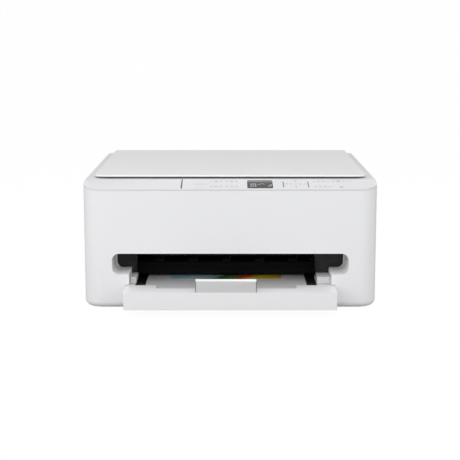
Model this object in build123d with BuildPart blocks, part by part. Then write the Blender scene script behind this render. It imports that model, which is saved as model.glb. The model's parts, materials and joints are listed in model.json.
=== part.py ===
from build123d import *
import os
from math import atan2, cos, degrees, hypot, pi, radians, sin, tan

os.makedirs("parts", exist_ok=True)

# A desktop inkjet printer with a flatbed scanner on top and a paper cassette below.
# Millimetres, +X to the right, +Y to the rear, +Z up.
# The origin is under the middle of the whole machine, on the surface that it stands on.

# Outer body
body_width = 380.0
body_depth = 358.0
machine_height = 170.0
tray_reach = 44.5
foot_height = 2.0
wall = 2.5
front_corner = 25.0
rear_corner = 8.0
base_rounding = 8.0
base_flange = 14.0
seam_gap = 0.3
fit_gap = 0.4
slide_gap = 0.1
over = 1.0
rib_skin = 1.6
front_rib_pitch = 60.0
front_rib_height = 1.2
front_rib_z = (79.5, 140.0)
foot_inset = 45.0
foot_radius = 9.0
foot_chamfer = 0.6
rear_edge_round = 2.0

# Top of the scanner unit and its sloping operation panel
rim_height = 165.0
panel_depth = 43.5
panel_drop = 7.3
frame_skin = 2.0
frame_edge_round = 1.2

# Front slot, the opening under it and the cassette bay
slot_width = 305.2
slot_low = 46.2
slot_high = 73.5
slot_corner = 9.0
recess_depth = 49.0
liner_wall = 2.0
throat_width = 261.8
bay_width = 271.4
bay_low = 8.9
bay_high = 32.7
cheek_low = 32.9
end_rim_skin = 1.5
bay_stop = 290.0
bay_stop_skin = 6.0
bay_rail_skin = 3.0
bay_rail_drop = 4.0
bay_track = (6.0, 20.0)
floor_rib_pitch = 60.0
floor_rib_inset = 30.0
floor_rib_height = 3.7

# Paper path
paper_width = 210.0
paper_centre = -5.4
guide_width = 13.5
guide_front = 21.0
guide_length = 120.0
guide_high = 28.3
guide_low = 15.9
guide_skin = 2.0
guide_hollow_front = 12.0
guide_hollow_back = 4.0
grip_count = 3
grip_pitch = 2.4
grip_groove = 1.0
grip_depth = 0.8

# Paper cassette
cassette_width = 269.8
cassette_low = 9.5
cassette_high = 32.1
cassette_skin = 2.0
cassette_floor = 1.5
cassette_length = 254.0
cassette_start = 8.0
rim_skin = 2.0
well_gap = 1.5
well_rib_x = (-90.0, 80.0)
well_rib_start = 150.0
well_rib_pitch = 20.0
well_rib_count = 5
well_rib_height = 1.2
cassette_top_round = 0.9
cassette_edge_round = 1.2
left_rim_width = 39.5
right_rim_width = 49.7
centre_rim_depth = 25.0
tongue_length = 52.0
block_front = 21.0
block_back = 50.4
block_high = 38.3
block_gap = 0.6
left_block_width = 7.3
right_block_width = 16.3
plate_skin = 1.5
plate_back = 155.0
flap_width = 76.6
flap_top = 48.5
flap_skin = 3.0
flap_pin_radius = 1.0
flap_bevel = 2.4
flap_back_bevel = 0.5
flap_pin_reach = 3.4
ear_skin = 4.0
ear_past = 3.0
pocket_gap = 0.2
pocket_skin = 1.4
plate_corner = 6.0
sheet_width = 148.0
sheet_length = 105.0
sheet_skin = 0.15
sheet_front = 47.5

# Guide rack and pinion, and the drive gears
gear_module = 1.0
tooth_gap = 0.18
tooth_root = 1.25
tooth_tip = 0.9
tooth_lean = 20.0
tooth_sink = 0.3
pinion_teeth = 24
pinion_back = 118.0
rack_low = 13.3
rack_high = 15.5
rack_depth = 5.0
rack_past = 8.0
rack_joint = 3.0
rack_teeth_before = 2
track_offsets = (-16.0, 12.0)
track_width = 4.0
post_radius = 5.0
feed_teeth = 40
idler_teeth = 48
output_teeth = 40
motor_teeth = 12
gear_face = 5.0
gear_rim = 4.0
gear_hub = 3.0
gear_web = 1.0
gear_windows = 5

# Inner frame and paper rollers
frame_inner = 160.0
frame_plate = 3.0
frame_front = 56.0
frame_back = 330.0
frame_top = 114.0
frame_slope_run = 24.0
frame_slope_drop = 30.0
frame_back_top = 106.0
ear_drop = 12.0
ear_reach = 5.0
ear_foot = 3.0
frame_windows = ((228.0, 258.0), (270.0, 300.0))
frame_window_z = (70.0, 100.0)
roller_height = 46.0
output_back = 80.0
feed_radius = 7.0
output_radius = 6.0
shaft_radius = 3.0
running_gap = 0.05
shaft_past = 2.0
tyre_past = 6.0
output_tyre_width = 12.0
pinch_width = 20.0
star_skin = 1.0
star_tooth = 1.2
star_points = 12
star_axle_past = 8.0
roller_inset = 28.0
star_radius = 4.0
pinch_radius = 4.0
star_axle_radius = 1.0
platen_top = 50.0
platen_front = 95.0
platen_back = 150.0
beam_low = 36.0
beam_high = 40.0
beam_inset = 6.0
platen_past_left = 14.0
platen_past_right = 6.0
platen_ribs = 17
platen_rib_skin = 1.2
platen_rib_height = 3.0
platen_rib_foot = 5.5
platen_rib_lead = 1.5
gutter = (108.0, 138.0)
gutter_inset = 3.0
gutter_depth = 2.0

# Park station beside the platen
cap_gap = 9.0
cap_deck = 47.0
cap_floor = 49.0
cap_top = 52.0
cap_depth = (104.0, 136.0)
cap_width = 19.0
cap_skin = 2.0
cap_offsets = (4.0, 25.0)
wiper_depth = (100.0, 140.0)
wiper_skin = 2.0
wiper_top = 52.3

# Ink carriage, its rail and belt
carriage_width = 80.0
carriage_front = 92.0
carriage_back = 157.5
carriage_low = 53.0
carriage_high = 104.0
carriage_park = 118.0
carriage_lip = 10.0
carriage_round = 8.0
nozzle_height = 4.0
nozzle_inset = (6.0, 10.0, 12.0)
bay_wall = 3.0
bay_back_wall = 8.0
bay_floor = 8.0
black_bay_width = 28.0
cartridge_tab = (6.0, 14.0, 3.0)
hook_width = 40.0
hook_skin = 3.0
hook_back = 4.0
hook_drop = 14.0
hook_reach = 4.4
clamp_drop = 6.0
rail_front = 158.0
rail_back = 176.0
rail_low = 70.0
rail_high = 110.0
rail_skin = 1.5
rail_window_pitch = 60.0
rail_window_width = 24.0
rail_window_z = (82.0, 98.0)
bracket_width = 28.0
bracket_past = 10.0
pulley_span = 280.0
pulley_back = 190.0
pulley_height = 86.0
pulley_radius = 8.0
belt_skin = 1.0
belt_height = 4.0
pulley_flange_rise = 0.9
pulley_flange_skin = 1.2
pulley_hub_radius = 4.0
pulley_spindle_radius = 2.9
spindle_gap = 0.1
spindle_past = 2.0

# Motors, boards and the rear paper turn
motor_radius = 13.0
motor_low = 44.0
motor_chamfer = 1.5
motor_bore_radius = 3.2
motor_bore_depth = 4.0
feed_motor_length = 30.0
feed_motor_bore = 14.0
board_thickness = 1.6
board_gap = 1.0
board_depth = (200.0, 330.0)
board_top = 84.0
chip_places = ((215.0, 20.0), (250.0, 45.0), (290.0, 30.0))
chip_size = 18.0
chip_height = 3.4
supply_gap = 2.0
supply_width = 18.0
supply_depth = (120.0, 300.0)
supply_top = 60.0
supply_vents = 8
supply_vent_start = 134.0
supply_vent_pitch = 20.0
supply_vent_size = (2.0, 8.0)
supply_vent_z = (20.0, 52.0)
turn_depth = (286.0, 312.0, 334.0)
turn_half = 27.0
turn_beam = (290.0, 300.0)
turn_beam_half = 6.0

# Scanner unit
hinge_inset = 8.0
hinge_height = 140.0
hinge_round = 8.0
scanner_lift = 45.0
hinge_pin_radius = 2.5
hinge_pin_reach = 5.0
ear_gap = 0.6
ear_pocket_wall = 2.4
ear_pocket_high = 6.0
ear_pocket_open = 3.0
housing_front = 4.2
housing_skin = 1.6
window_width = 305.0
window_depth = 220.0
window_front = 65.0
glass_margin = 3.5
glass_skin = 2.8
reader_width = 22.0
reader_height = 12.0
reader_low = 143.2
reader_gap = 2.0
reader_chamfer = 1.5
reader_lens = (5.0, 3.0)
reader_rail_inset = 12.0
reader_rail_width = 4.0
reader_rail_end = 10.0
rim_stock = 8.0
rim_round_zone = 30.0

# Document cover
lid_width = 358.0
lid_front = 44.0
lid_skin = 2.6
lid_corner = 14.0
lid_rear_inset = 3.0
lid_pin_radius = 1.0
lid_knuckle_width = 10.0
lid_knuckle_x = 120.0
lid_edge_round = 1.2
lid_pin_reach = 6.0
lid_notch_depth = 3.0
pad_margin = 1.5

# Operation panel keys
key_width = 11.4
key_depth = 6.8
key_gap = 0.25
key_proud = 0.15
key_stem = 5.0
key_stem_inset = 1.2
nav_key_width = 6.6
nav_key_depth = 5.6
nav_x = 84.6
nav_up = 21.5
nav_reach = 11.4
nav_rise = 13.1
nav_fall = 11.9
display_width = 33.0
display_depth = 35.6
display_x = 38.4
display_up = 20.6
display_corner = 3.0
display_skin = 1.6
bar_width = 1.8
bar_x = -62.7
bar_end_gap = 1.5

# Back wall openings
access_x = (-105.0, 105.0)
access_z = (46.0, 112.0)
inlet_x = (140.0, 168.0)
inlet_z = (22.0, 44.0)
usb_x = (-160.0, -144.0)
usb_z = (24.0, 40.0)
inlet_mouth_width = 16.6
inlet_mouth_height = 9.6
inlet_mouth_depth = 12.0
inlet_pin_pitch = 8.6
inlet_pin_radius = 1.2
inlet_length = 16.0
socket_inset = 0.2
socket_pin_drop = 2.0
usb_length = 15.0
usb_mouth = (8.45, 7.78)
usb_mouth_chamfer = 1.4
usb_mouth_depth = 10.0
usb_tongue = (5.6, 3.2)
vent_count = 7
vent_pitch = 5.0
vent_width = 2.0
vent_inset = 18.0
vent_z = (88.0, 112.0)
flange_reach = 3.0
flange_skin = 2.0
flange_notch = 7.0
rear_top_gap = 0.5
access_rib_count = 9
access_rib_inset = 8.0
access_rib_end = 4.0
access_turn = (18.0, 7.0)
thumb_x = 70.0
thumb_size = (22.0, 1.5, 14.0)

# Black output surround
surround_width = 300.0
surround_step = 38.7
mouth_width = 236.4
mouth_high = 66.0
step_joint = 12.0
cheek_skin = 2.0
canopy_back = 90.0
canopy_end = 70.0
canopy_steps = 2
canopy_drop = 2.2
canopy_pitch = 8.0
comb_offset = 4.0
comb_skin = 3.0
comb_back = 86.0
comb_drop = 2.5
wing_front = 58.0
wing_skin = 4.0
wing_low = 42.0
apron_front = 66.0
apron_skin = 3.0
apron_high = 50.0
apron_gap = 3.4

# Paper pickup
pickup_back = 212.0
pickup_height = 62.0
pickup_reach = 30.0
pickup_drop = 17.0
pickup_radius = 11.0
pickup_width = 24.0
pickup_x = paper_centre
pickup_cheek_skin = 4.0
pickup_cheek_width = 13.0
pickup_side_gap = 1.0
pickup_bridge = 10.0
pickup_bridge_drop = 7.0
pickup_axle_radius = 2.0
pickup_groove = 3.0
pickup_groove_depth = 2.0
pinch_axle_radius = 1.5
motor_angle = 15.0
motor_shaft_radius = 2.0
motor_shaft_gap = 0.2
motor_hole_radius = 4.0
roller_count = 5

# Values worked out from the sizes above
front = (tray_reach - body_depth) / 2
back = front + body_depth
side = body_width / 2
panel_slope = atan2(panel_drop, panel_depth)
panel_edge = rim_height - panel_drop
plate_high = cassette_high - rim_skin
plate_low = plate_high - plate_skin
paper_left = paper_centre - paper_width / 2
paper_right = paper_centre + paper_width / 2
hinge_y = back - hinge_inset
housing_low = hinge_height - hinge_round
rear_panel_top = housing_low - rear_top_gap
frame_outer = frame_inner + frame_plate
feed_back = output_back + gear_module * (feed_teeth + 2 * idler_teeth + output_teeth) / 2
gear_plane = frame_outer + 4.0
pinch_z = roller_height + feed_radius + pinch_radius + seam_gap
motor_reach = gear_module * (feed_teeth + motor_teeth) / 2
motor_y = front + feed_back + motor_reach * cos(radians(motor_angle))
motor_z = roller_height + motor_reach * sin(radians(motor_angle))
idler_y = front + output_back + gear_module * (output_teeth + idler_teeth) / 2
star_z = roller_height + output_radius + star_radius + seam_gap
cassette_side = cassette_width / 2
base_side = cassette_side - cassette_skin - fit_gap
block_side = throat_width / 2 - block_gap
flap_axis_y = front - tray_reach + cassette_skin + seam_gap + flap_skin / 2 + slide_gap
flap_axis_z = plate_high + slide_gap
lid_axis_y = back - lid_rear_inset - lid_skin / 2
lid_low = machine_height - lid_skin
lid_axis_z = machine_height - lid_skin / 2


def behind(depth):
    """Give the Y place that lies this far behind the plane of the front face."""
    return front + depth


def slab(x, y, z, mode=Mode.ADD):
    """Add or cut a straight block between three pairs of limits."""
    with BuildSketch(Plane.XY.offset(min(z))) as plan:
        with Locations(((x[0] + x[1]) / 2, (y[0] + y[1]) / 2)):
            Rectangle(abs(x[1] - x[0]), abs(y[1] - y[0]))
    extrude(plan.sketch, amount=abs(z[1] - z[0]), mode=mode)


def rod_x(x, y, z, radius, mode=Mode.ADD):
    """Add or cut a round bar along X."""
    with BuildSketch(Plane.YZ.offset(min(x))) as section:
        with Locations((y, z)):
            Circle(radius)
    extrude(section.sketch, amount=abs(x[1] - x[0]), mode=mode)


def rod_z(x, y, z, radius, mode=Mode.ADD):
    """Add or cut a round bar along Z."""
    with BuildSketch(Plane.XY.offset(min(z))) as section:
        with Locations((x, y)):
            Circle(radius)
    extrude(section.sketch, amount=abs(z[1] - z[0]), mode=mode)


def side_shape(points, x, mode=Mode.ADD):
    """Add or cut an outline drawn in the Y-Z plane, between two X limits."""
    with BuildSketch(Plane.YZ.offset(min(x))) as section:
        with BuildLine():
            Polyline(*points, close=True)
        make_face()
    extrude(section.sketch, amount=abs(x[1] - x[0]), mode=mode)


def body_plan(inset, height):
    """Draw the plan outline of the body, drawn in by an inset, at one height."""
    with BuildSketch(Plane.XY.offset(height)) as plan:
        with Locations((0, (front + back) / 2)):
            Rectangle(body_width - 2 * inset, body_depth - 2 * inset)
        fillet(plan.vertices().sort_by(Axis.Y)[:2], front_corner - inset)
        fillet(plan.vertices().sort_by(Axis.Y)[-2:], max(rear_corner - inset, 1.0))
    return plan.sketch


def roof_points(drop):
    """List the Y-Z outline of all that lies above the roof line, lowered by a drop."""
    reach = 20.0
    low = panel_edge - drop
    return [
        (front - reach, low - reach * tan(panel_slope)),
        (behind(panel_depth), rim_height - drop),
        (back + reach, rim_height - drop),
        (back + reach, rim_height + reach),
        (front - reach, rim_height + reach),
    ]


def slot_outline(grow, low_side, low_z):
    """Draw the stepped front opening: a long round-ended slot with a throat under it."""
    with BuildSketch() as outline:
        with Locations((0, (slot_low + slot_high) / 2)):
            RectangleRounded(slot_width + 2 * grow, slot_high - slot_low + 2 * grow, slot_corner + grow)
        with Locations((0, (low_z + slot_low + slot_corner) / 2)):
            Rectangle(2 * low_side, slot_low + slot_corner - low_z)
    return outline.sketch


def hinge_tab_points(grow):
    """Give the straight edges of the upright tab round the scanner hinge."""
    reach = hinge_round + grow
    return [
        (hinge_y - reach, hinge_height),
        (back + over, hinge_height),
        (back + over, rim_height + over),
        (hinge_y - reach, rim_height + over),
    ]


def make_main_cover():
    """Moulded front and sides in one shell, with the stepped slot and the cassette bay."""
    with BuildPart() as cavity:
        extrude(body_plan(wall, foot_height + wall), amount=rim_height)
        fillet(cavity.faces().sort_by(Axis.Z)[0].edges(), base_rounding - wall)
    with BuildPart() as main_cover:
        extrude(body_plan(0, foot_height), amount=rim_height - foot_height)
        fillet(main_cover.faces().sort_by(Axis.Z)[0].edges(), base_rounding)
        add(cavity.part, mode=Mode.SUBTRACT)
        # The base flange stays as a ledge round the open floor
        inner = side - base_flange
        floor = (0, foot_height + wall + over)
        slab((-inner, inner), (behind(base_flange), back + over), floor, Mode.SUBTRACT)
        slab((-inner, inner), (back - base_flange, back + over), (0, rim_height), Mode.SUBTRACT)
        side_shape(roof_points(frame_skin + seam_gap), (-side - over, side + over), Mode.SUBTRACT)
        # Notches at the rear top where the hinge tabs of the scanner unit turn
        side_shape(hinge_tab_points(seam_gap), (-side - over, side + over), Mode.SUBTRACT)
        rod_x((-side - over, side + over), hinge_y, hinge_height, hinge_round + seam_gap, Mode.SUBTRACT)
        # Slope beside the hinge that the rear bar leans over when the scanner unit is up
        reach = (hinge_round + seam_gap) * sin(radians(scanner_lift))
        drop = (hinge_round + seam_gap) * cos(radians(scanner_lift))
        run = back + over - hinge_y - reach
        side_shape([
            (hinge_y + reach, hinge_height - drop),
            (back + over, hinge_height - drop + run * tan(radians(scanner_lift))),
            (back + over, hinge_height),
            (hinge_y, hinge_height),
        ], (-side - over, side + over), Mode.SUBTRACT)
        # Stepped opening in the front wall
        with BuildSketch(Plane.XZ.offset(-front + over)) as opening:
            add(slot_outline(0, throat_width / 2, bay_high - over))
            with Locations((0, (bay_low + bay_high) / 2)):
                Rectangle(bay_width, bay_high - bay_low)
        extrude(opening.sketch, amount=-(wall + base_flange), mode=Mode.SUBTRACT)
        # Stiffening ribs inside the front wall
        for step in range(-2, 3):
            x = step * front_rib_pitch
            y = (behind(wall), behind(wall + front_rib_height))
            slab((x - rib_skin / 2, x + rib_skin / 2), y, front_rib_z)
    main_cover.part.label = "main_cover"
    export_step(main_cover.part, "parts/main_cover.step")


def make_slot_liner():
    """White recess behind the front wall: shelf, round ends and throat cheeks."""
    throat = throat_width / 2
    with BuildPart() as slot_liner:
        with BuildSketch(Plane.XZ.offset(-behind(wall))) as ring:
            add(slot_outline(liner_wall, throat + liner_wall, cheek_low))
            add(slot_outline(0, throat, cheek_low - over), mode=Mode.SUBTRACT)
        extrude(ring.sketch, amount=-(recess_depth - wall))
        # Narrow end rims frame the black surround
        height = slot_high - slot_low
        with BuildSketch(Plane.XZ.offset(-behind(recess_depth - end_rim_skin))) as end_rims:
            with Locations((0, (slot_low + slot_high) / 2)):
                RectangleRounded(slot_width + over, height + over, slot_corner)
                Rectangle(surround_width - 2 * slot_corner, height + 2 * over, mode=Mode.SUBTRACT)
                RectangleRounded(surround_width, height, slot_corner - over, mode=Mode.SUBTRACT)
        extrude(end_rims.sketch, amount=-end_rim_skin)
    slot_liner.part.label = "slot_liner"
    export_step(slot_liner.part, "parts/slot_liner.step")


def make_bottom_case():
    """Floor of the machine, laid into the cover's base flange, with rails for the cassette."""
    inner = side - base_flange - fit_gap
    top = foot_height + wall
    with BuildPart() as bottom_case:
        slab((-inner, inner), (behind(base_flange + fit_gap), back - wall), (foot_height, top))
        extrude(body_plan(base_rounding + fit_gap, top), amount=wall)
        rail = bay_width / 2
        rail_top = bay_high - bay_rail_drop
        for hand in (-1, 1):
            y = (behind(cassette_start), behind(bay_stop))
            slab((hand * rail, hand * (rail + bay_rail_skin)), y, (top, rail_top))
            track = (hand * (rail - bay_track[0]), hand * (rail - bay_track[1]))
            slab(track, y, (top, cassette_low - seam_gap))
        for step in range(1, 5):
            y = (behind(step * floor_rib_pitch), behind(step * floor_rib_pitch + bay_rail_skin))
            slab((-rail + floor_rib_inset, rail - floor_rib_inset), y, (top, top + floor_rib_height))
        slab((-rail, rail), (behind(bay_stop - bay_stop_skin), behind(bay_stop)), (top, rail_top))
    bottom_case.part.label = "bottom_case"
    export_step(bottom_case.part, "parts/bottom_case.step")


def make_rubber_feet():
    """Four round feet pressed into the floor."""
    with BuildPart() as rubber_feet:
        with BuildSketch() as pads:
            with Locations((0, (front + back) / 2)):
                with GridLocations(body_width - 2 * foot_inset, body_depth - 2 * foot_inset, 2, 2):
                    Circle(foot_radius)
        extrude(pads.sketch, amount=foot_height)
        chamfer(rubber_feet.faces().group_by(Axis.Z)[0].edges(), foot_chamfer)
    rubber_feet.part.label = "rubber_feet"
    export_step(rubber_feet.part, "parts/rubber_feet.step")


def make_rear_panel():
    """Back wall between the cover's returns, with the access opening and the sockets."""
    inner = side - base_flange - fit_gap
    with BuildPart() as rear_panel:
        slab((-inner, inner), (back - wall, back), (foot_height, rear_panel_top))
        low_edge = rear_panel.edges().filter_by(Axis.X).group_by(Axis.Z)[0].sort_by(Axis.Y)[-1:]
        fillet(low_edge, rear_edge_round)
        through = (back - wall - over, back + over)
        for x, z in ((access_x, access_z), (inlet_x, inlet_z), (usb_x, usb_z)):
            slab(x, through, z, Mode.SUBTRACT)
        # Vent slots high on one side
        for step in range(vent_count):
            x = -inner + vent_inset + step * vent_pitch
            slab((x, x + vent_width), through, vent_z, Mode.SUBTRACT)
        # Stiffening flange along the top edge
        flange_y = (back - wall - flange_reach, back - wall)
        flange_z = (rear_panel_top - flange_skin, rear_panel_top)
        slab((-inner, inner), flange_y, flange_z)
        for x in (-frame_outer, frame_outer):
            slab((x - flange_notch, x + flange_notch), flange_y, flange_z, Mode.SUBTRACT)
    rear_panel.part.label = "rear_panel"
    export_step(rear_panel.part, "parts/rear_panel.step")


def make_rear_access_cover():
    """Pull-out cover at the back that carries the outer half of the paper turn."""
    gap = fit_gap
    x = (access_x[0] + gap, access_x[1] - gap)
    z = (access_z[0] + gap, access_z[1] - gap)
    middle = (z[0] + z[1]) / 2
    with BuildPart() as rear_access_cover:
        slab(x, (back - wall, back - seam_gap), z)
        turn = back - access_turn[0]
        ends = (z[0] + access_rib_end, z[1] - access_rib_end)
        pitch = (x[1] - x[0] - 2 * access_rib_inset) / (access_rib_count - 1)
        for step in range(access_rib_count):
            rib_x = x[0] + access_rib_inset + step * pitch
            with BuildSketch(Plane.YZ.offset(rib_x - rib_skin / 2)) as rib:
                with BuildLine():
                    Polyline((back - wall, ends[0]), (turn, ends[0]))
                    ThreePointArc((turn, ends[0]), (back - access_turn[1], middle), (turn, ends[1]))
                    Polyline((turn, ends[1]), (back - wall, ends[1]), (back - wall, ends[0]))
                make_face()
            extrude(rib.sketch, amount=rib_skin)
        # Two thumb hollows for pulling it out
        width, depth, height = thumb_size
        for hand in (-1, 1):
            centre = (x[0] + x[1]) / 2 + hand * thumb_x
            hollow = (centre - width / 2, centre + width / 2)
            slab(hollow, (back - depth, back), (middle - height / 2, middle + height / 2), Mode.SUBTRACT)
    rear_access_cover.part.label = "rear_access_cover"
    export_step(rear_access_cover.part, "parts/rear_access_cover.step")


def make_power_inlet():
    """Two-pin appliance socket set into the back wall."""
    with BuildPart() as power_inlet:
        slab(inlet_x, (back - inlet_length, back - socket_inset), inlet_z)
        centre = ((inlet_x[0] + inlet_x[1]) / 2, (inlet_z[0] + inlet_z[1]) / 2)
        with BuildSketch(Plane.XZ.offset(-back - over)) as mouth:
            with Locations(centre):
                SlotOverall(inlet_mouth_width, inlet_mouth_height)
        extrude(mouth.sketch, amount=inlet_mouth_depth + over, mode=Mode.SUBTRACT)
        with BuildSketch(Plane.XZ.offset(-back + socket_pin_drop)) as pins:
            with Locations(centre):
                with GridLocations(inlet_pin_pitch, 1, 2, 1):
                    Circle(inlet_pin_radius)
        extrude(pins.sketch, amount=inlet_mouth_depth)
    power_inlet.part.label = "power_inlet"
    export_step(power_inlet.part, "parts/power_inlet.step")


def make_usb_port():
    """Square data socket with its tongue."""
    with BuildPart() as usb_port:
        slab(usb_x, (back - usb_length, back - socket_inset), usb_z)
        centre = ((usb_x[0] + usb_x[1]) / 2, (usb_z[0] + usb_z[1]) / 2)
        with BuildSketch(Plane.XZ.offset(-back - over)) as mouth:
            with Locations(centre):
                Rectangle(*usb_mouth)
            chamfer(mouth.vertices().group_by(Axis.Y)[-1], usb_mouth_chamfer)
        extrude(mouth.sketch, amount=usb_mouth_depth, mode=Mode.SUBTRACT)
        with BuildSketch(Plane.XZ.offset(-back + socket_pin_drop)) as tongue:
            with Locations(centre):
                Rectangle(*usb_tongue)
        extrude(tongue.sketch, amount=usb_mouth_depth)
    usb_port.part.label = "usb_port"
    export_step(usb_port.part, "parts/usb_port.step")


def make_output_surround():
    """Black wall at the back of the recess, with the stepped lower edge and the paper mouth."""
    y = behind(recess_depth)
    with BuildPart() as output_surround:
        with BuildSketch(Plane.XZ.offset(-y)) as face:
            with Locations((0, (slot_low + slot_high + liner_wall) / 2)):
                height = slot_high + liner_wall - slot_low
                RectangleRounded(surround_width + 2 * liner_wall, height, slot_corner - over)
            with Locations((0, (surround_step + slot_low + step_joint) / 2)):
                Rectangle(throat_width, slot_low + step_joint - surround_step)
            with Locations((paper_centre, surround_step)):
                Rectangle(mouth_width, 2 * (mouth_high - surround_step), mode=Mode.SUBTRACT)
        extrude(face.sketch, amount=-wall)
        # Cheeks and a stepped canopy run back from the mouth to the roller deck
        left = paper_centre - mouth_width / 2
        right = paper_centre + mouth_width / 2
        apron = (behind(apron_front), behind(apron_front + apron_skin))
        slab((left - cheek_skin, left), (y, apron[1]), (surround_step, mouth_high))
        slab((right, right + cheek_skin), (y, apron[1]), (surround_step, mouth_high))
        canopy = (left - cheek_skin, right + cheek_skin)
        slab(canopy, (y, behind(canopy_back)), (mouth_high, mouth_high + cheek_skin))
        for step in range(1, canopy_steps + 1):
            stair = (mouth_high - step * canopy_drop, mouth_high)
            slab((left, right), (y + step * canopy_pitch, behind(canopy_end)), stair)
        # Apron that hides the rollers and ends over the output plate, between the tray blocks
        slab((left - over, right + over), apron, (surround_step, apron_high))
        inner = (block_side - left_block_width, block_side - right_block_width)
        apron_x = (max(left, fit_gap - inner[0]), min(right, inner[1] - fit_gap))
        slab(apron_x, apron, (plate_high + apron_gap, surround_step + over))
        # Comb that carries the star wheel axle
        for step in range(roller_count):
            x = roller_place(step) + comb_offset
            comb_y = (behind(canopy_end), behind(comb_back))
            slab((x, x + comb_skin), comb_y, (star_z - comb_drop, mouth_high + over))
            bore = (x - over, x + comb_skin + over)
            rod_x(bore, behind(output_back), star_z, star_axle_radius + running_gap, Mode.SUBTRACT)
        # Side wings reach the inner frame plates
        wing_y = (behind(wing_front), behind(wing_front + wing_skin))
        slab((-frame_inner, canopy[0]), wing_y, (wing_low, mouth_high + cheek_skin))
        slab((canopy[1], frame_inner), wing_y, (wing_low, mouth_high + cheek_skin))
    output_surround.part.label = "output_surround"
    export_step(output_surround.part, "parts/output_surround.step")


def make_frame_plate(name, hand):
    """Upright plate that carries the rollers, the rail and one scanner hinge ear."""
    base = foot_height + 2 * wall
    outline = [
        (behind(frame_front), base),
        (behind(frame_back), base),
        (behind(frame_back), frame_back_top),
        (hinge_y + ear_reach, hinge_height - ear_drop),
        (hinge_y + ear_reach, hinge_height),
        (hinge_y - ear_reach, hinge_height),
        (hinge_y - ear_reach, housing_low - ear_foot),
        (behind(frame_back - frame_slope_run), frame_top),
        (behind(frame_front + frame_slope_run), frame_top),
        (behind(frame_front), frame_top - frame_slope_drop),
    ]
    x = (hand * frame_inner, hand * frame_outer)
    with BuildPart() as frame_piece:
        side_shape(outline, x)
        rod_x(x, hinge_y, hinge_height, ear_reach)
        # Riveted pin for the scanner unit, standing out on both sides of the ear
        pin = (hand * (frame_inner - hinge_pin_reach), hand * (frame_outer + hinge_pin_reach))
        rod_x(pin, hinge_y, hinge_height, hinge_pin_radius)
        for depth in (output_back, feed_back):
            rod_x(x, behind(depth), roller_height, shaft_radius + running_gap, Mode.SUBTRACT)
        rod_x(x, behind(pickup_back), pickup_height, shaft_radius + running_gap, Mode.SUBTRACT)
        rod_x(x, behind(feed_back), pinch_z, pinch_axle_radius + running_gap, Mode.SUBTRACT)
        if hand < 0:
            rod_x(x, motor_y, motor_z, motor_hole_radius, Mode.SUBTRACT)
            stud = (-gear_plane - gear_face - over, -frame_inner)
            rod_x(stud, idler_y, roller_height, shaft_radius)
        # Lightening windows
        for low, high in frame_windows:
            slab(x, (behind(low), behind(high)), frame_window_z, Mode.SUBTRACT)
    frame_piece.part.label = name
    export_step(frame_piece.part, f"parts/{name}.step")


def make_platen():
    """Ribbed paper bed on its cross beam."""
    low = paper_left - platen_past_left
    high = paper_right + platen_past_right
    bed = platen_top - platen_rib_height
    beam = (behind(platen_front + beam_inset), behind(platen_back - beam_inset))
    with BuildPart() as platen:
        slab((-frame_inner, frame_inner), beam, (beam_low, beam_high))
        slab((low, high), (behind(platen_front), behind(platen_back)), (beam_high, bed))
        trough = (behind(gutter[0]), behind(gutter[1]))
        slab((low + gutter_inset, high - gutter_inset), trough, (bed - gutter_depth, bed), Mode.SUBTRACT)
        pitch = (high - low - 2 * beam_inset) / (platen_ribs - 1)
        for step in range(platen_ribs):
            x = low + beam_inset + step * pitch
            side_shape([
                (behind(platen_front), platen_top - platen_rib_foot),
                (behind(platen_back), platen_top - platen_rib_foot),
                (behind(platen_back), platen_top - platen_rib_lead),
                (beam[1], platen_top),
                (beam[0], platen_top),
                (behind(platen_front), platen_top - platen_rib_lead),
            ], (x - platen_rib_skin / 2, x + platen_rib_skin / 2))
    platen.part.label = "platen"
    export_step(platen.part, "parts/platen.step")


def make_cap_station():
    """Maintenance station beside the platen, with the two caps that seal the print head."""
    low = paper_right + cap_gap
    outer = (behind(cap_depth[0]), behind(cap_depth[1]))
    hollow = (outer[0] + cap_skin, outer[1] - cap_skin)
    with BuildPart() as cap_station:
        y = (behind(platen_front), behind(platen_back))
        slab((low, frame_inner - cap_skin), y, (beam_high, cap_deck))
        for offset in cap_offsets:
            x = carriage_park + offset
            half = cap_width / 2
            slab((x - half, x + half), outer, (cap_deck, cap_top))
            inside = (x - half + cap_skin, x + half - cap_skin)
            slab(inside, hollow, (cap_floor, cap_top + over), Mode.SUBTRACT)
        wiper = (low + wiper_skin, low + 2 * wiper_skin)
        slab(wiper, (behind(wiper_depth[0]), behind(wiper_depth[1])), (cap_deck, wiper_top))
    cap_station.part.label = "cap_station"
    export_step(cap_station.part, "parts/cap_station.step")


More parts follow.
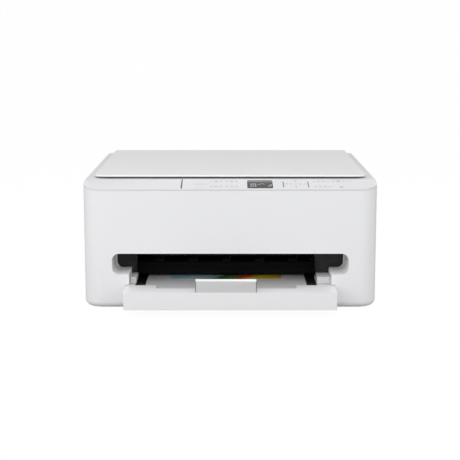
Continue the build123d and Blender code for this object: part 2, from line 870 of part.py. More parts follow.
def make_carriage_rail():
    """Folded steel rail between the frame plates."""
    with BuildPart() as carriage_rail:
        side_shape([
            (behind(rail_front), rail_low),
            (behind(rail_back), rail_low),
            (behind(rail_back), rail_low + rail_skin),
            (behind(rail_front) + rail_skin, rail_low + rail_skin),
            (behind(rail_front) + rail_skin, rail_high - rail_skin),
            (behind(rail_back), rail_high - rail_skin),
            (behind(rail_back), rail_high),
            (behind(rail_front), rail_high),
        ], (-frame_inner, frame_inner))
        for step in range(-2, 3):
            x = step * rail_window_pitch
            web = (behind(rail_front) - over, behind(rail_front) + rail_skin + over)
            window = (x - rail_window_width / 2, x + rail_window_width / 2)
            slab(window, web, rail_window_z, Mode.SUBTRACT)
        # Brackets that hold the two belt pulleys
        for hand in (-1, 1):
            x = hand * pulley_span / 2
            y = (behind(rail_front) + rail_skin, behind(pulley_back + bracket_past))
            slab((x - bracket_width / 2, x + bracket_width / 2), y, (rail_low, rail_low + rail_skin))
            hole = pulley_spindle_radius + spindle_gap
            z = (rail_low - over, rail_low + rail_skin + over)
            rod_z(x, behind(pulley_back), z, hole, Mode.SUBTRACT)
    carriage_rail.part.label = "carriage_rail"
    export_step(carriage_rail.part, "parts/carriage_rail.step")


def make_belt():
    """Carriage belt, one closed loop round the two pulleys."""
    inner = pulley_radius + seam_gap
    with BuildPart() as carriage_belt:
        with BuildSketch(Plane.XY.offset(pulley_height - belt_height / 2)) as loop:
            with Locations((0, behind(pulley_back))):
                SlotOverall(pulley_span + 2 * (inner + belt_skin), 2 * (inner + belt_skin))
                SlotOverall(pulley_span + 2 * inner, 2 * inner, mode=Mode.SUBTRACT)
        extrude(loop.sketch, amount=belt_height)
    carriage_belt.part.label = "carriage_belt"
    export_step(carriage_belt.part, "parts/carriage_belt.step")


def make_pulley(name, hand):
    """Toothed belt pulley with its flanges and the shaft it turns on."""
    x = hand * pulley_span / 2
    half = belt_height / 2
    with BuildPart() as pulley:
        drum = half + fit_gap
        flange = drum + pulley_flange_skin
        for low, high, radius in (
            (-flange, -drum, pulley_radius + pulley_flange_rise),
            (-drum, drum, pulley_radius),
            (drum, flange, pulley_radius + pulley_flange_rise),
        ):
            rod_z(x, behind(pulley_back), (pulley_height + low, pulley_height + high), radius)
        foot = rail_low + rail_skin + fit_gap
        rod_z(x, behind(pulley_back), (foot, pulley_height), pulley_hub_radius)
        rod_z(x, behind(pulley_back), (rail_low - spindle_past, pulley_height), pulley_spindle_radius)
    pulley.part.label = name
    export_step(pulley.part, f"parts/{name}.step")


def make_motors():
    """Carriage motor under the right pulley, and feed motor on the left frame plate."""
    x = pulley_span / 2
    with BuildPart() as carriage_motor:
        rod_z(x, behind(pulley_back), (motor_low, rail_low), motor_radius)
        rim = carriage_motor.edges().filter_by(GeomType.CIRCLE).group_by(Axis.Z)[0]
        chamfer(rim, motor_chamfer)
        bore = (rail_low - motor_bore_depth, rail_low)
        rod_z(x, behind(pulley_back), bore, motor_bore_radius, Mode.SUBTRACT)
    carriage_motor.part.label = "carriage_motor"
    export_step(carriage_motor.part, "parts/carriage_motor.step")
    with BuildPart() as feed_motor:
        rod_x((-frame_inner, -frame_inner + feed_motor_length), motor_y, motor_z, motor_radius)
        bore = (-frame_inner, -frame_inner + feed_motor_bore)
        rod_x(bore, motor_y, motor_z, motor_shaft_radius + motor_shaft_gap, Mode.SUBTRACT)
    feed_motor.part.label = "feed_motor"
    export_step(feed_motor.part, "parts/feed_motor.step")


def make_rear_guide():
    """Inner half of the rear paper turn, a ribbed drum segment between the frame plates."""
    middle = (access_z[0] + access_z[1]) / 2
    low = middle - turn_half
    high = middle + turn_half
    start = behind(turn_depth[0])
    flat = behind(turn_depth[1])
    with BuildPart() as rear_guide:
        with BuildSketch(Plane.YZ.offset(paper_left)) as section:
            with BuildLine():
                Polyline((start, low), (flat, low))
                ThreePointArc((flat, low), (behind(turn_depth[2]), middle), (flat, high))
                Polyline((flat, high), (start, high), (start, low))
            make_face()
        extrude(section.sketch, amount=paper_width)
        beam = (behind(turn_beam[0]), behind(turn_beam[1]))
        slab((-frame_inner, frame_inner), beam, (middle - turn_beam_half, middle + turn_beam_half))
    rear_guide.part.label = "rear_guide"
    export_step(rear_guide.part, "parts/rear_guide.step")


def make_boards():
    """Main circuit board behind the left wall, and the mains supply behind the right wall."""
    left = -side + base_rounding + board_gap
    base = foot_height + 2 * wall
    with BuildPart() as main_board:
        y = (behind(board_depth[0]), behind(board_depth[1]))
        slab((left, left + board_thickness), y, (base, board_top))
        for depth, low in chip_places:
            chip = (left + board_thickness, left + board_thickness + chip_height)
            slab(chip, (behind(depth), behind(depth + chip_size)), (low, low + chip_size))
    main_board.part.label = "main_board"
    export_step(main_board.part, "parts/main_board.step")
    right = side - wall - supply_gap
    left = right - supply_width
    with BuildPart() as power_supply:
        slab((left, right), (behind(supply_depth[0]), behind(supply_depth[1])), (base, supply_top))
        deep, long = supply_vent_size
        for step in range(supply_vents):
            y = behind(supply_vent_start + step * supply_vent_pitch)
            slab((left - over, left + deep), (y, y + long), supply_vent_z, Mode.SUBTRACT)
    power_supply.part.label = "power_supply"
    export_step(power_supply.part, "parts/power_supply.step")


def gear_outline(teeth, bore, turn):
    """Draw a spur gear with one tooth at the given angle, and a round bore."""
    pitch_radius = gear_module * teeth / 2
    root = pitch_radius - tooth_root * gear_module
    tip = pitch_radius + tooth_tip * gear_module
    half_pitch = gear_module * pi / 4 - tooth_gap
    lean = tan(radians(tooth_lean))
    root_half = half_pitch + tooth_root * gear_module * lean
    tip_half = half_pitch - tooth_tip * gear_module * lean
    corners = ((root, -root_half), (tip, -tip_half), (tip, tip_half), (root, root_half))
    with BuildSketch() as outline:
        points = []
        for tooth in range(teeth):
            angle = radians(turn + 360 * tooth / teeth)
            for reach, across in corners:
                points.append((
                    reach * cos(angle) - across * sin(angle),
                    reach * sin(angle) + across * cos(angle),
                ))
        with BuildLine():
            Polyline(*points, close=True)
        make_face()
        Circle(bore, mode=Mode.SUBTRACT)
    return outline.sketch


def side_gear(teeth, y, z, bore, turn):
    """Add one gear of the train outside the left frame plate, with a thin web and windows."""
    rim = gear_module * teeth / 2 - gear_rim
    hub = bore + gear_hub
    plane = Plane(origin=(-gear_plane - gear_face, y, z), x_dir=(0, 1, 0), z_dir=(1, 0, 0))
    with BuildSketch(plane) as face:
        add(gear_outline(teeth, bore, turn))
        if teeth > 2 * motor_teeth:
            with PolarLocations((rim + hub) / 2, gear_windows, start_angle=turn):
                Circle((rim - hub) / 2 - gear_web, mode=Mode.SUBTRACT)
    extrude(face.sketch, amount=gear_face)


def make_gear_train():
    """Idler between the two roller gears, and the motor pinion that meets the feed gear."""
    with BuildPart() as idler_gear:
        side_gear(idler_teeth, idler_y, roller_height, shaft_radius + running_gap, 180 / idler_teeth)
    idler_gear.part.label = "idler_gear"
    export_step(idler_gear.part, "parts/idler_gear.step")
    # The pinion meets the feed gear at the motor's angle, tooth to gap
    tooth = 360 / feed_teeth
    past = motor_angle % tooth
    turn = motor_angle + 180 + 180 / motor_teeth + past * feed_teeth / motor_teeth
    with BuildPart() as motor_pinion:
        side_gear(motor_teeth, motor_y, motor_z, motor_shaft_radius, turn)
        shaft = (-gear_plane - gear_face, -frame_inner + feed_motor_bore - shaft_past)
        rod_x(shaft, motor_y, motor_z, motor_shaft_radius)
    motor_pinion.part.label = "motor_pinion"
    export_step(motor_pinion.part, "parts/motor_pinion.step")


def make_rollers():
    """Feed roller, output roller, pinch roller and star wheels, each on its own shaft."""
    ends = (-gear_plane - gear_face, frame_outer + shaft_past)
    with BuildPart() as feed_roller:
        rod_x(ends, behind(feed_back), roller_height, shaft_radius)
        tyre = (paper_left - tyre_past, paper_right + tyre_past)
        rod_x(tyre, behind(feed_back), roller_height, feed_radius)
        side_gear(feed_teeth, behind(feed_back), roller_height, shaft_radius - over, 0)
    feed_roller.part.label = "feed_roller"
    export_step(feed_roller.part, "parts/feed_roller.step")
    with BuildPart() as output_roller:
        rod_x(ends, behind(output_back), roller_height, shaft_radius)
        for step in range(roller_count):
            x = roller_place(step)
            tyre = (x - output_tyre_width / 2, x + output_tyre_width / 2)
            rod_x(tyre, behind(output_back), roller_height, output_radius)
        side_gear(output_teeth, behind(output_back), roller_height, shaft_radius - over, 0)
    output_roller.part.label = "output_roller"
    export_step(output_roller.part, "parts/output_roller.step")
    with BuildPart() as pinch_roller:
        rod_x((-frame_outer, frame_outer), behind(feed_back), pinch_z, pinch_axle_radius)
        for step in range(roller_count):
            x = roller_place(step)
            tyre = (x - pinch_width / 2, x + pinch_width / 2)
            rod_x(tyre, behind(feed_back), pinch_z, pinch_radius)
    pinch_roller.part.label = "pinch_roller"
    export_step(pinch_roller.part, "parts/pinch_roller.step")
    with BuildPart() as star_wheels:
        left = roller_place(0) - star_axle_past
        right = roller_place(roller_count - 1) + star_axle_past
        rod_x((left, right), behind(output_back), star_z, star_axle_radius)
        for step in range(roller_count):
            x = roller_place(step)
            with BuildSketch(Plane.YZ.offset(x - star_skin / 2)) as star:
                with Locations((behind(output_back), star_z)):
                    Circle(star_radius - star_tooth)
                    with PolarLocations(star_radius - star_tooth, star_points):
                        RegularPolygon(star_tooth, 3)
            extrude(star.sketch, amount=star_skin)
    star_wheels.part.label = "star_wheels"
    export_step(star_wheels.part, "parts/star_wheels.step")


def roller_place(step):
    """Give the X place of one of the evenly spaced output rollers."""
    span = mouth_width - 2 * roller_inset
    return paper_centre - span / 2 + step * span / (roller_count - 1)


def make_pickup():
    """Swinging arm over the paper well with its rubber-tyred pickup roller."""
    arm_y = behind(pickup_back + pickup_reach)
    arm_z = pickup_height - pickup_drop
    half = pickup_width / 2
    inner = half + pickup_side_gap
    outer = inner + pickup_cheek_skin
    with BuildPart() as pickup_arm:
        for x in (pickup_x - outer, pickup_x + inner):
            with BuildSketch(Plane.YZ.offset(x)) as cheek:
                with Locations((behind(pickup_back + pickup_reach / 2), pickup_height - pickup_drop / 2)):
                    length = hypot(pickup_reach, pickup_drop)
                    lean = -degrees(atan2(pickup_drop, pickup_reach))
                    SlotCenterToCenter(length, pickup_cheek_width, rotation=lean)
            extrude(cheek.sketch, amount=pickup_cheek_skin)
        middle = (behind(pickup_back) + arm_y) / 2
        low = pickup_height - pickup_bridge_drop
        bridge = (middle - pickup_bridge, middle)
        slab((pickup_x - inner, pickup_x + inner), bridge, (low, low + pickup_bridge))
        rod_x((-frame_outer, frame_outer), behind(pickup_back), pickup_height, shaft_radius)
        bore = (pickup_x - outer - over, pickup_x + outer + over)
        rod_x(bore, arm_y, arm_z, pickup_axle_radius + running_gap, Mode.SUBTRACT)
    pickup_arm.part.label = "pickup_arm"
    export_step(pickup_arm.part, "parts/pickup_arm.step")
    with BuildPart() as pickup_roller:
        tyre = (pickup_x - half + pickup_side_gap, pickup_x + half - pickup_side_gap)
        groove = (pickup_x - pickup_groove / 2, pickup_x + pickup_groove / 2)
        rod_x((pickup_x - outer, pickup_x + outer), arm_y, arm_z, pickup_axle_radius)
        rod_x(tyre, arm_y, arm_z, pickup_radius)
        rod_x(groove, arm_y, arm_z, pickup_radius + over, Mode.SUBTRACT)
        rod_x(groove, arm_y, arm_z, pickup_radius - pickup_groove_depth)
    pickup_roller.part.label = "pickup_roller"
    export_step(pickup_roller.part, "parts/pickup_roller.step")


def make_carriage():
    """Ink carriage with two bays, a hook over the rail and the belt clamp."""
    low = carriage_park - carriage_width / 2
    high = carriage_park + carriage_width / 2
    y = (behind(carriage_front), behind(carriage_back))
    bottom = carriage_low + nozzle_height
    side_inset, front_inset, back_inset = nozzle_inset
    with BuildPart() as ink_carriage:
        slab((low, high), y, (bottom, carriage_high - carriage_lip))
        nozzle = (y[0] + front_inset, y[1] - back_inset)
        slab((low + side_inset, high - side_inset), nozzle, (carriage_low, bottom))
        front_edge = ink_carriage.edges().filter_by(Axis.X).group_by(Axis.Z)[-1].sort_by(Axis.Y)[:1]
        fillet(front_edge, carriage_round)
        well = (y[0] + bay_wall, y[1] - bay_back_wall)
        for bay in ink_bays():
            slab(bay, well, (carriage_low + bay_floor, carriage_high), Mode.SUBTRACT)
        # Hook over the top of the rail, and the tail that grips the belt
        hook = (carriage_park - hook_width / 2, carriage_park + hook_width / 2)
        top = (rail_high + fit_gap, rail_high + fit_gap + hook_skin)
        slab(hook, (y[1] - hook_back, y[1]), (carriage_high - hook_drop, top[1]))
        slab(hook, (y[1] - hook_back, behind(rail_back) + hook_reach), top)
        belt_face = behind(pulley_back) - pulley_radius - seam_gap - belt_skin - seam_gap
        slab(hook, (belt_face - hook_skin, belt_face), (pulley_height - clamp_drop, top[1]))
    ink_carriage.part.label = "ink_carriage"
    export_step(ink_carriage.part, "parts/ink_carriage.step")
    with BuildPart() as ink_cartridges:
        body = (well[0] + fit_gap, well[1] - fit_gap)
        inset, length, height = cartridge_tab
        for bay in ink_bays():
            slab((bay[0] + fit_gap, bay[1] - fit_gap), body, (carriage_low + bay_floor, carriage_high))
            tab = (y[0] + inset, y[0] + inset + length)
            slab((bay[0] + inset, bay[1] - inset), tab, (carriage_high, carriage_high + height))
    ink_cartridges.part.label = "ink_cartridges"
    export_step(ink_cartridges.part, "parts/ink_cartridges.step")


def ink_bays():
    """Give the X limits of the narrow black bay and the wide colour bay."""
    low = carriage_park - carriage_width / 2 + bay_wall
    split = low + black_bay_width
    return [(low, split), (split + bay_wall, low + carriage_width - 2 * bay_wall)]


def make_cassette_base():
    """Sliding paper well with side ledges, guide tracks and the pinion post."""
    y = (behind(cassette_start), behind(cassette_start + cassette_length))
    floor = cassette_low + cassette_floor
    ledge = cassette_high - rim_skin - seam_gap
    with BuildPart() as cassette_base:
        slab((-base_side, base_side), y, (cassette_low, floor))
        for hand in (-1, 1):
            wall_x = (hand * (base_side - cassette_skin), hand * base_side)
            slab(wall_x, (behind(tray_reach + well_gap), y[1]), (cassette_low, ledge))
        slab((-base_side, base_side), (y[1] - cassette_skin, y[1]), (cassette_low, ledge))
        slab((-base_side, paper_left - guide_width - fit_gap), y, (ledge - cassette_skin, ledge))
        slab((paper_right + guide_width + fit_gap, base_side), y, (ledge - cassette_skin, ledge))
        # Tracks under the guide feet and the post for the pinion
        under = (floor, rack_low - slide_gap)
        for offset in track_offsets:
            track = behind(pinion_back + offset)
            slab((-base_side, base_side), (track, track + track_width), under)
        rod_z(paper_centre, behind(pinion_back), under, post_radius)
        rod_z(paper_centre, behind(pinion_back), (floor, rack_high), shaft_radius)
        # Ribs on the floor of the rear half
        for step in range(well_rib_count):
            rib_y = behind(well_rib_start + step * well_rib_pitch)
            slab(well_rib_x, (rib_y, rib_y + rib_skin), (floor, floor + well_rib_height))
    cassette_base.part.label = "cassette_base"
    export_step(cassette_base.part, "parts/cassette_base.step")


def make_cassette_front():
    """Telescoping front of the cassette: face, sides, top rims, floor tongue and flap ears."""
    y0 = front - tray_reach
    inner = cassette_side - cassette_skin
    floor = (cassette_low + cassette_floor + seam_gap, cassette_low + 2 * cassette_floor + seam_gap)
    rim = (cassette_high - rim_skin, cassette_high)
    with BuildPart() as cassette_front:
        slab((-cassette_side, cassette_side), (y0, y0 + cassette_skin), (cassette_low, cassette_high))
        for hand in (-1, 1):
            arm = (hand * inner, hand * cassette_side)
            slab(arm, (y0, behind(block_back)), (cassette_low, cassette_high))
        slab((-inner, inner), (y0 + cassette_skin, front), floor)
        tongue = base_side - cassette_skin - fit_gap
        slab((-tongue, tongue), (front, behind(tongue_length)), floor)
        slab((-inner, -inner - cassette_skin + left_rim_width), (y0, front), rim)
        slab((inner + cassette_skin - right_rim_width, inner), (y0, front), rim)
        slab((-inner, inner), (y0, y0 + centre_rim_depth), rim)
        # Blocks that stand beside the printed sheets, on webs over the side arms
        for hand, width in ((-1, left_block_width), (1, right_block_width)):
            block = (hand * block_side, hand * (block_side - width))
            y = (behind(block_front), behind(block_back))
            slab((hand * inner, block[1]), y, rim)
            slab(block, y, (rim[0], block_high))
        # Pocket for the folded flap, its floor and its two hinge ears
        pocket = flap_pocket()
        left, right = pocket[0]
        bed = (plate_low - pocket_gap - pocket_skin, plate_low - pocket_gap)
        slab(pocket[0], pocket[1], (rim[0] - over, rim[1] + over), Mode.SUBTRACT)
        slab((left - ear_skin, right + ear_skin), pocket[1], bed)
        for x in ((left - ear_skin, left), (right, right + ear_skin)):
            slab(x, (y0 + cassette_skin, flap_axis_y + ear_past), (bed[0], rim[1]))
            rod_x(x, flap_axis_y, flap_axis_z, flap_pin_radius + running_gap, Mode.SUBTRACT)
        top_front = cassette_front.edges().filter_by(Axis.X).group_by(Axis.Z)[-1].sort_by(Axis.Y)[:1]
        fillet(top_front, cassette_top_round)
        fillet(cassette_front.edges().filter_by(Axis.Z).group_by(Axis.Y)[0], cassette_edge_round)
    cassette_front.part.label = "cassette_front"
    export_step(cassette_front.part, "parts/cassette_front.step")


def flap_pocket():
    """Give the X and Y limits of the pocket that the folded flap lies in."""
    half = flap_width / 2 + fit_gap
    y0 = front - tray_reach + cassette_skin
    return (paper_centre - half, paper_centre + half), (y0, flap_axis_y + flap_top - flap_axis_z + fit_gap)


def make_output_plate():
    """Grey plate under the rims that catches the printed sheets."""
    pocket = flap_pocket()
    with BuildPart() as output_plate:
        y = (front - tray_reach + cassette_skin, behind(plate_back))
        slab((paper_left, paper_right), y, (plate_low, plate_high))
        cut = (pocket[0][0] - ear_skin, pocket[0][1] + ear_skin)
        slab(cut, pocket[1], (plate_low - over, plate_high + over), Mode.SUBTRACT)
        fillet(output_plate.edges().filter_by(Axis.Z).group_by(Axis.Y)[-1], plate_corner)
    output_plate.part.label = "output_plate"
    export_step(output_plate.part, "parts/output_plate.step")


def make_output_flap():
    """Fold-down stop at the front of the tray, with a bevelled top edge and two pins."""
    half = flap_skin / 2
    low = (flap_axis_y - half, flap_axis_z)
    back_face = flap_axis_y + half
    with BuildPart() as output_flap:
        with BuildSketch(Plane.YZ.offset(paper_centre - flap_width / 2)) as section:
            with BuildLine():
                Line(low, (low[0], flap_top - flap_bevel))
                Line((low[0], flap_top - flap_bevel), (back_face - flap_back_bevel, flap_top))
                Line((back_face - flap_back_bevel, flap_top), (back_face, flap_top - flap_back_bevel))
                Line((back_face, flap_top - flap_back_bevel), (back_face, flap_axis_z))
                ThreePointArc((back_face, flap_axis_z), (flap_axis_y, flap_axis_z - half), low)
            make_face()
        extrude(section.sketch, amount=flap_width)
        reach = flap_width / 2 + fit_gap + flap_pin_reach
        rod_x((paper_centre - reach, paper_centre + reach), flap_axis_y, flap_axis_z, flap_pin_radius)
    output_flap.part.label = "output_flap"
    export_step(output_flap.part, "parts/output_flap.step")


def make_printed_sheet():
    """One printed sheet lying on the plate."""
    half = sheet_width / 2
    with BuildPart() as printed_sheet:
        y = (behind(sheet_front), behind(sheet_front + sheet_length))
        slab((paper_centre - half, paper_centre + half), y, (plate_high, plate_high + sheet_skin))
    printed_sheet.part.label = "printed_sheet"
    export_step(printed_sheet.part, "parts/printed_sheet.step")


def make_guide(name, hand):
    """Paper guide: upright strip with a grip at its front, and the toothed rack on its foot."""
    inner = paper_left if hand < 0 else paper_right
    outer = inner + hand * guide_width
    y = (behind(guide_front), behind(guide_front + guide_length))
    pitch = gear_module * pi
    pitch_y = behind(pinion_back) + hand * gear_module * pinion_teeth / 2
    root_y = pitch_y + hand * tooth_root * gear_module
    tip_y = pitch_y - hand * tooth_tip * gear_module
    sunk_y = root_y + hand * tooth_sink
    back_y = root_y + hand * rack_depth
    rack_y = (min(root_y, back_y), max(root_y, back_y))
    tip_x = paper_centre - hand * rack_past
    with BuildPart() as guide:
        slab((inner, outer), y, (guide_low, guide_high))
        # Grip grooves over the front end
        hollow = (inner + hand * guide_skin, outer - hand * guide_skin)
        for step in range(grip_count):
            groove = y[0] + guide_skin + step * grip_pitch
            cut = (groove, groove + grip_groove)
            slab(hollow, cut, (guide_high - grip_depth, guide_high), Mode.SUBTRACT)
        under = (y[0] + guide_hollow_front, y[1] - guide_hollow_back)
        slab(hollow, under, (guide_low, guide_high - guide_skin), Mode.SUBTRACT)
        slab((inner, outer), rack_y, (rack_low, guide_low + rack_joint))
        slab((tip_x, outer), rack_y, (rack_low, rack_high))
        count = int(abs(inner - tip_x) / pitch)
        half = pitch / 4 - tooth_gap
        lean = tan(radians(tooth_lean))
        wide = half + tooth_root * lean
        narrow = half - tooth_tip * lean
        for step in range(-rack_teeth_before, count):
            x = paper_centre + hand * (step + 0.5) * pitch
            with BuildSketch(Plane.XY.offset(rack_low)) as tooth:
                with BuildLine():
                    Polyline(
                        (x - wide, sunk_y),
                        (x - narrow, tip_y),
                        (x + narrow, tip_y),
                        (x + wide, sunk_y),
                        close=True,
                    )
                make_face()
            extrude(tooth.sketch, amount=rack_high - rack_low)
    guide.part.label = name
    export_step(guide.part, f"parts/{name}.step")


def make_guide_pinion():
    """Pinion between the two racks, which keeps the guides centred."""
    with BuildPart() as guide_pinion:
        with BuildSketch(Plane.XY.offset(rack_low)) as face:
            with Locations((paper_centre, behind(pinion_back))):
                add(gear_outline(pinion_teeth, shaft_radius + running_gap, 0))
        extrude(face.sketch, amount=rack_high - rack_low)
    guide_pinion.part.label = "guide_pinion"
    export_step(guide_pinion.part, "parts/guide_pinion.step")


def panel_plane(x, up, lift=0.0):
    """Place a plane on the sloping panel: x across, up the slope from its front edge."""
    along = (0, cos(panel_slope), sin(panel_slope))
    normal = (0, -sin(panel_slope), cos(panel_slope))
    origin = (
        x,
        front + up * along[1] + lift * normal[1],
        panel_edge + up * along[2] + lift * normal[2],
    )
    return Plane(origin=origin, x_dir=(1, 0, 0), z_dir=normal)


def key_places():
    """List the keys: name, place across, place up the slope, and width and depth."""
    large = (key_width, key_depth)
    small = (nav_key_width, nav_key_depth)
    return [
        ("key_home", -38.4, 20.6, large),
        ("key_menu_1", -18.0, 32.3, large),
        ("key_menu_2", -18.0, 10.3, large),
        ("key_menu_3", 2.1, 32.3, large),
        ("key_menu_4", 2.1, 10.3, large),
        ("key_ok", nav_x, nav_up, large),
        ("key_up", nav_x, nav_up + nav_rise, small),
        ("key_down", nav_x, nav_up - nav_fall, small),
        ("key_left", nav_x - nav_reach, nav_up, small),
        ("key_right", nav_x + nav_reach, nav_up, small),
        ("key_start_black", 114.5, 33.2, large),
        ("key_start_colour", 115.8, 10.8, large),
        ("key_stop", 140.5, 33.2, large),
    ]


def make_keys():
    """Flush press keys of the panel, each with a stem that stands over its switch."""
    for name, x, up, size in key_places():
        with BuildPart() as key:
            with BuildSketch(panel_plane(x, up, -key_stem)) as stem:
                Rectangle(size[0] - 2 * key_stem_inset, size[1] - 2 * key_stem_inset)
            extrude(stem.sketch, amount=key_stem)
            with BuildSketch(panel_plane(x, up, -frame_skin)) as cap:
                SlotOverall(size[0], size[1])
            extrude(cap.sketch, amount=frame_skin + key_proud)
        key.part.label = name
        export_step(key.part, f"parts/{name}.step")


def make_panel_lenses():
    """Clear display window and the light bar, flush in the panel."""
    with BuildPart() as panel_lenses:
        with BuildSketch(panel_plane(display_x, display_up, -display_skin)) as window:
            RectangleRounded(display_width, display_depth, display_corner)
        extrude(window.sketch, amount=display_skin)
        with BuildSketch(panel_plane(bar_x, panel_depth / 2, -display_skin)) as bar:
            Rectangle(bar_width, panel_depth - 2 * bar_end_gap)
        extrude(bar.sketch, amount=display_skin)
    panel_lenses.part.label = "panel_lenses"
    export_step(panel_lenses.part, "parts/panel_lenses.step")


def make_scanner_top_frame():
    """Top rim and sloping panel in one moulding, open over the glass and at each key."""
    with BuildPart() as scanner_top_frame:
        low = panel_edge - frame_skin
        extrude(body_plan(0, low - rim_stock), amount=rim_height - low + rim_stock)
        side_shape(roof_points(0), (-side - over, side + over), Mode.SUBTRACT)
        top = scanner_top_frame.faces().filter_by(GeomType.PLANE).group_by(Axis.Z)[-1]
        outer_rim = top.edges().filter_by(lambda edge: abs(edge.center().X) > side - rim_round_zone)
        fillet(outer_rim, frame_edge_round)
        reach = 20.0
        side_shape([
            (front - reach, low - reach * tan(panel_slope)),
            (behind(panel_depth), rim_height - frame_skin),
            (back + reach, rim_height - frame_skin),
            (back + reach, 0),
            (front - reach, 0),
        ], (-side - over, side + over), Mode.SUBTRACT)
        window_y = (behind(window_front), behind(window_front + window_depth))
        slab((-window_width / 2, window_width / 2), window_y, (0, rim_height + over), Mode.SUBTRACT)
        for name, x, up, size in key_places():
            with BuildSketch(panel_plane(x, up, -frame_skin - over)) as hole:
                SlotOverall(size[0] + 2 * key_gap, size[1] + 2 * key_gap)
            extrude(hole.sketch, amount=frame_skin + 2 * over, mode=Mode.SUBTRACT)
        with BuildSketch(panel_plane(display_x, display_up, -display_skin)) as window:
            RectangleRounded(display_width, display_depth, display_corner)
        extrude(window.sketch, amount=display_skin + over, mode=Mode.SUBTRACT)
        with BuildSketch(panel_plane(bar_x, panel_depth / 2, -display_skin)) as bar:
            Rectangle(bar_width, panel_depth - 2 * bar_end_gap)
        extrude(bar.sketch, amount=display_skin + over, mode=Mode.SUBTRACT)
        # Two low blocks carry the pins of the document cover
        for hand in (-1, 1):
            centre = hand * lid_knuckle_x
            x = (centre - lid_knuckle_width / 2, centre + lid_knuckle_width / 2)
            y = (lid_axis_y - lid_skin / 2, lid_axis_y + lid_skin / 2)
            slab(x, y, (rim_height - frame_skin, lid_axis_z))
            rod_x(x, lid_axis_y, lid_axis_z, lid_skin / 2)
            pin = (x[0] - lid_pin_reach, x[1] + lid_pin_reach)
            rod_x(pin, lid_axis_y, lid_axis_z, lid_pin_radius)
    scanner_top_frame.part.label = "scanner_top_frame"
    export_step(scanner_top_frame.part, "parts/scanner_top_frame.step")


def make_scanner_housing():
    """Lower tub of the scanner, with the rounded rear bar and its hinge tabs."""
    outer = side - housing_front
    bar_front = hinge_y - hinge_round
    top = rim_height - frame_skin
    with BuildPart() as scanner_housing:
        hollow = (housing_front + housing_skin, housing_low + housing_skin, bar_front - housing_skin)
        for (inset, low, end), mode in (
            ((housing_front, housing_low, bar_front + over), Mode.ADD),
            (hollow, Mode.SUBTRACT),
        ):
            with BuildSketch(Plane.XY.offset(low)) as tub:
                add(body_plan(inset, 0))
                with Locations((0, end + side)):
                    Rectangle(2 * body_width, 2 * side, mode=Mode.SUBTRACT)
            extrude(tub.sketch, amount=top + over - low, mode=mode)
        slab((-side, side), (front, back), (top, top + 2 * over), Mode.SUBTRACT)
        # Rear bar: round below, upright above, with the body's own rear corners
        with BuildSketch(Plane.YZ.offset(-side)) as bar:
            with Locations((hinge_y, hinge_height)):
                Circle(hinge_round)
            with Locations((hinge_y, (hinge_height + top) / 2)):
                Rectangle(2 * hinge_round, top - hinge_height)
        extrude(bar.sketch, amount=2 * side)
        extrude(body_plan(0, housing_low - over), amount=rim_height, mode=Mode.INTERSECT)
        reach = 20.0
        side_shape([
            (front - reach, panel_edge - frame_skin - reach * tan(panel_slope)),
            (behind(panel_depth), top),
            (behind(panel_depth), rim_height + over),
            (front - reach, rim_height + over),
        ], (-side, side), Mode.SUBTRACT)
        # Pockets round the two frame ears, and the bores for their pins
        for hand in (-1, 1):
            ear = (hand * (frame_inner - ear_gap), hand * (frame_outer + ear_gap))
            closed = (bar_front - over, hinge_y + hinge_round - ear_pocket_wall)
            low = housing_low - over
            slab(ear, closed, (low, hinge_height + ear_pocket_high), Mode.SUBTRACT)
            opened = (bar_front - over, back + over)
            slab(ear, opened, (low, hinge_height + ear_pocket_open), Mode.SUBTRACT)
            reach = hinge_pin_reach + over
            pin = (hand * (frame_inner - reach), hand * (frame_outer + reach))
            rod_x(pin, hinge_y, hinge_height, hinge_pin_radius + running_gap, Mode.SUBTRACT)
        # Rails for the reading bar
        far = window_depth - reader_rail_inset - reader_rail_width
        rail_z = (housing_low + housing_skin, reader_low - 2 * slide_gap)
        for depth in (window_front + reader_rail_inset, window_front + far):
            y = (behind(depth), behind(depth + reader_rail_width))
            slab((-outer + reader_rail_end, outer - reader_rail_end), y, rail_z)
    scanner_housing.part.label = "scanner_housing"
    export_step(scanner_housing.part, "parts/scanner_housing.step")


def make_scanner_glass():
    """Glass plate glued under the rim's window."""
    half = window_width / 2 + glass_margin
    top = rim_height - frame_skin
    with BuildPart() as scanner_glass:
        y = (behind(window_front - glass_margin), behind(window_front + window_depth + glass_margin))
        slab((-half, half), y, (top - glass_skin, top))
    scanner_glass.part.label = "scanner_glass"
    export_step(scanner_glass.part, "parts/scanner_glass.step")


def make_scan_carriage():
    """Reading bar under the glass, parked at the left, with its lens slot."""
    x = -window_width / 2 + reader_width / 2 + reader_gap
    half = reader_width / 2
    y = (behind(window_front + reader_gap), behind(window_front + window_depth - reader_gap))
    top = reader_low + reader_height
    lens_width, lens_depth = reader_lens
    with BuildPart() as scan_carriage:
        slab((x - half, x + half), y, (reader_low, top))
        chamfer(scan_carriage.edges().filter_by(Axis.Y).group_by(Axis.Z)[-1], reader_chamfer)
        lens_y = (y[0] + reader_gap, y[1] - reader_gap)
        lens_x = (x - lens_width / 2, x + lens_width / 2)
        slab(lens_x, lens_y, (top - lens_depth, top + over), Mode.SUBTRACT)
    scan_carriage.part.label = "scan_carriage"
    export_step(scan_carriage.part, "parts/scan_carriage.step")


